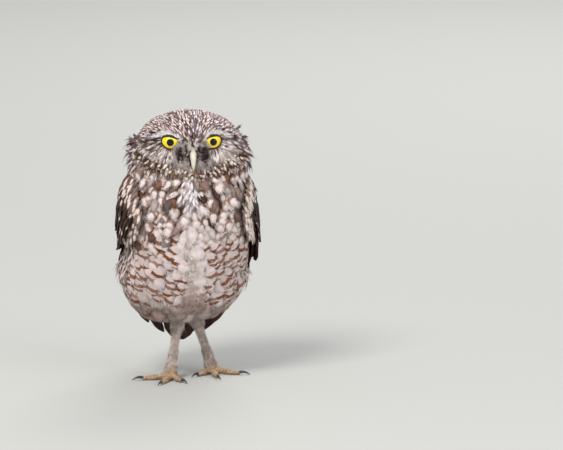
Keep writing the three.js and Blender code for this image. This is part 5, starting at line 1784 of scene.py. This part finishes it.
# Each toe has its direction in degrees, its length and the length of its claw.
TOES = {
    "left": (
        ("inner", -128, 17, 7.5), ("middle", -76, 22, 8.5), ("outer", -15, 24, 8), ("hind", 104, 11, 7),
    ),
    "right": (
        ("inner", -58, 17, 7.5), ("middle", -108, 23, 8.5), ("outer", -169, 23, 8), ("hind", 74, 11.5, 7),
    ),
}
TOE_SHAPE = (
    (0, 3.3, 4.6), (0.22, 3.3, 3.3), (0.42, 2.2, 2.5), (0.62, 2.5, 2.05), (0.8, 2.1, 1.65), (1, 1.9, 1.45),
)
CLAW_SHAPE = (
    (-0.25, 1.9, 1), (0.18, 2.6, 1), (0.42, 2.75, 0.86), (0.7, 2.25, 0.62), (0.95, 1.35, 0.38),
    (1.1, 0.55, 0.16),
)


def finer(knots, count):
    """A table of knots made into smoothly spaced rows."""
    table = np.array(knots, float)
    at = np.linspace(table[0, 0], table[-1, 0], count)
    return [(u, *[float(profile(knots, k, u)) for k in range(1, table.shape[1])]) for u in at]


def leg_finish():
    """Rough ochre toes, darker where they meet the ground, and a paler shank."""
    finish, shader, wire = new_finish("leg_scales", {"Roughness": 0.62})
    place = object_place(wire)
    height = place.part(2)
    grain = wire.noise(place, 700.0)
    scales = wire.node("ShaderNodeTexVoronoi", {}, {"Vector": place, "Scale": 620.0})
    patchy = grain.ramp(0.3, 0.7)
    toes = wire.tint(patchy, (128, 98, 68), (192, 166, 134))
    toes = wire.tint((1 - height.ramp(0.0, 0.0022)) * 0.6, toes, (96, 74, 54))
    shank = wire.tint(patchy, (172, 152, 142), (212, 198, 188))
    connect(shader, "Base Color", wire.tint(height.ramp(0.007, 0.014), toes, shank))
    roughen(shader, 0.7, 0.0004, scales + grain * 0.4)
    return finish


def claw_finish():
    finish, shader, wire = new_finish("claw_gloss", {"Roughness": 0.34})
    grain = wire.noise(object_place(wire), 900.0)
    connect(shader, "Base Color", wire.tint(grain, (24, 26, 34), (70, 72, 84)))
    return finish


def kept_above_ground(piece):
    for vertex in piece.data.vertices:
        vertex.co.z = max(vertex.co.z, 0.0)


leg_surface = leg_finish()
claw_surface = claw_finish()
for k, (side, leg) in enumerate(LEGS.items()):
    ankle = np.array(leg["ankle"], float)
    heel = np.array(leg["heel"], float)
    under_ankle = ankle * (1, 1, 0)
    shaft = [(ankle + (heel - ankle) * u, r, r) for u, r in finer(TARSUS_SHAPE, SHANK_STATIONS)]
    forms = [mesh_piece("shank", *swept(shaft, LIMB_SIDES, SIDEWAYS))]
    for name, turn, length, claw in TOES[side]:
        away = np.array([math.cos(math.radians(turn)), math.sin(math.radians(turn)), 0])
        across = np.array([-away[1], away[0], 0])
        stations = []
        for u, radius, height in finer(TOE_SHAPE, TOE_STATIONS):
            ridge = 0.93 + 0.08 * abs(math.sin(math.pi * u * length / SCUTE_GAP)) * smooth_step(u, 0.25, 0.4)
            pad = 0.95 + 0.16 * bump(u - 0.62, 0.1) + 0.12 * bump(u - 0.92, 0.07)
            middle = under_ankle + away * u * length + UPWARD * height
            stations.append((middle, radius * ridge, radius * pad))
        forms.append(mesh_piece("toe", *swept(stations, LIMB_SIDES, UPWARD)))
        stations = []
        for u, height, thin in finer(CLAW_SHAPE, CLAW_STATIONS):
            middle = under_ankle + away * (length + u * claw) + UPWARD * height
            stations.append((middle, CLAW_ROOT_RADIUS * thin * 0.72, CLAW_ROOT_RADIUS * thin * 0.95))
        horn = mesh_piece(f"claw_horn_{side}_{name}", *swept(stations, CLAW_SIDES, across), claw_surface)
        shade_smooth(horn)
        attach(horn, "root")
        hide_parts(f"claw_{side}_{name}")
    for form in forms:
        kept_above_ground(form)
    limb = shade_smooth(merged("leg_" + side, forms, FOOT_VOXEL, FOOT_SMOOTHING))
    kept_above_ground(limb)
    limb.data.materials.append(leg_surface)
    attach(limb, "root")
    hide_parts("tarsus_" + side, "foot_" + side)
    count = BRISTLES
    rng, place, normal, lie, turn = swept_roots(shaft, 0.1, 1.0, count, 90 + k)
    thick = smooth_step(place[:, 2], 8, 48)
    streak = 0.3 * patches(turn * 2.4, place[:, 2] / 12, 92)
    bristles = tuft_roots(rng, place - normal * 0.3, normal, lie, rng.uniform(0.08, 0.32, count), 0.15,
                          rng.uniform(3.2, 5.0, count) * (0.8 + 0.6 * thick), 0.5,
                          rng.normal(0.68, 0.28, count) + streak)
    # The cuff: longer tufts at the foot of the shank that flare over the roots of the toes
    count = CUFF_TUFTS
    rng, place, normal, lie, turn = swept_roots(shaft, 0.06, 0.42, count, 94 + k)
    low = 1 - smooth_step(place[:, 2], 9, 24)
    flare = unit(lie + normal * (0.1 + 0.4 * low)[:, None])
    lift = rng.uniform(0.05, 0.2, count) + 0.3 * low
    cuff = tuft_roots(rng, place - normal * 0.6, normal, flare, lift, 0.3, rng.uniform(4.5, 7.5, count), 0.8,
                      rng.normal(0.6, 0.28, count))
    plant("leg_bristles_" + side, gather(bristles, cuff), BRISTLE_KINDS, down_material)
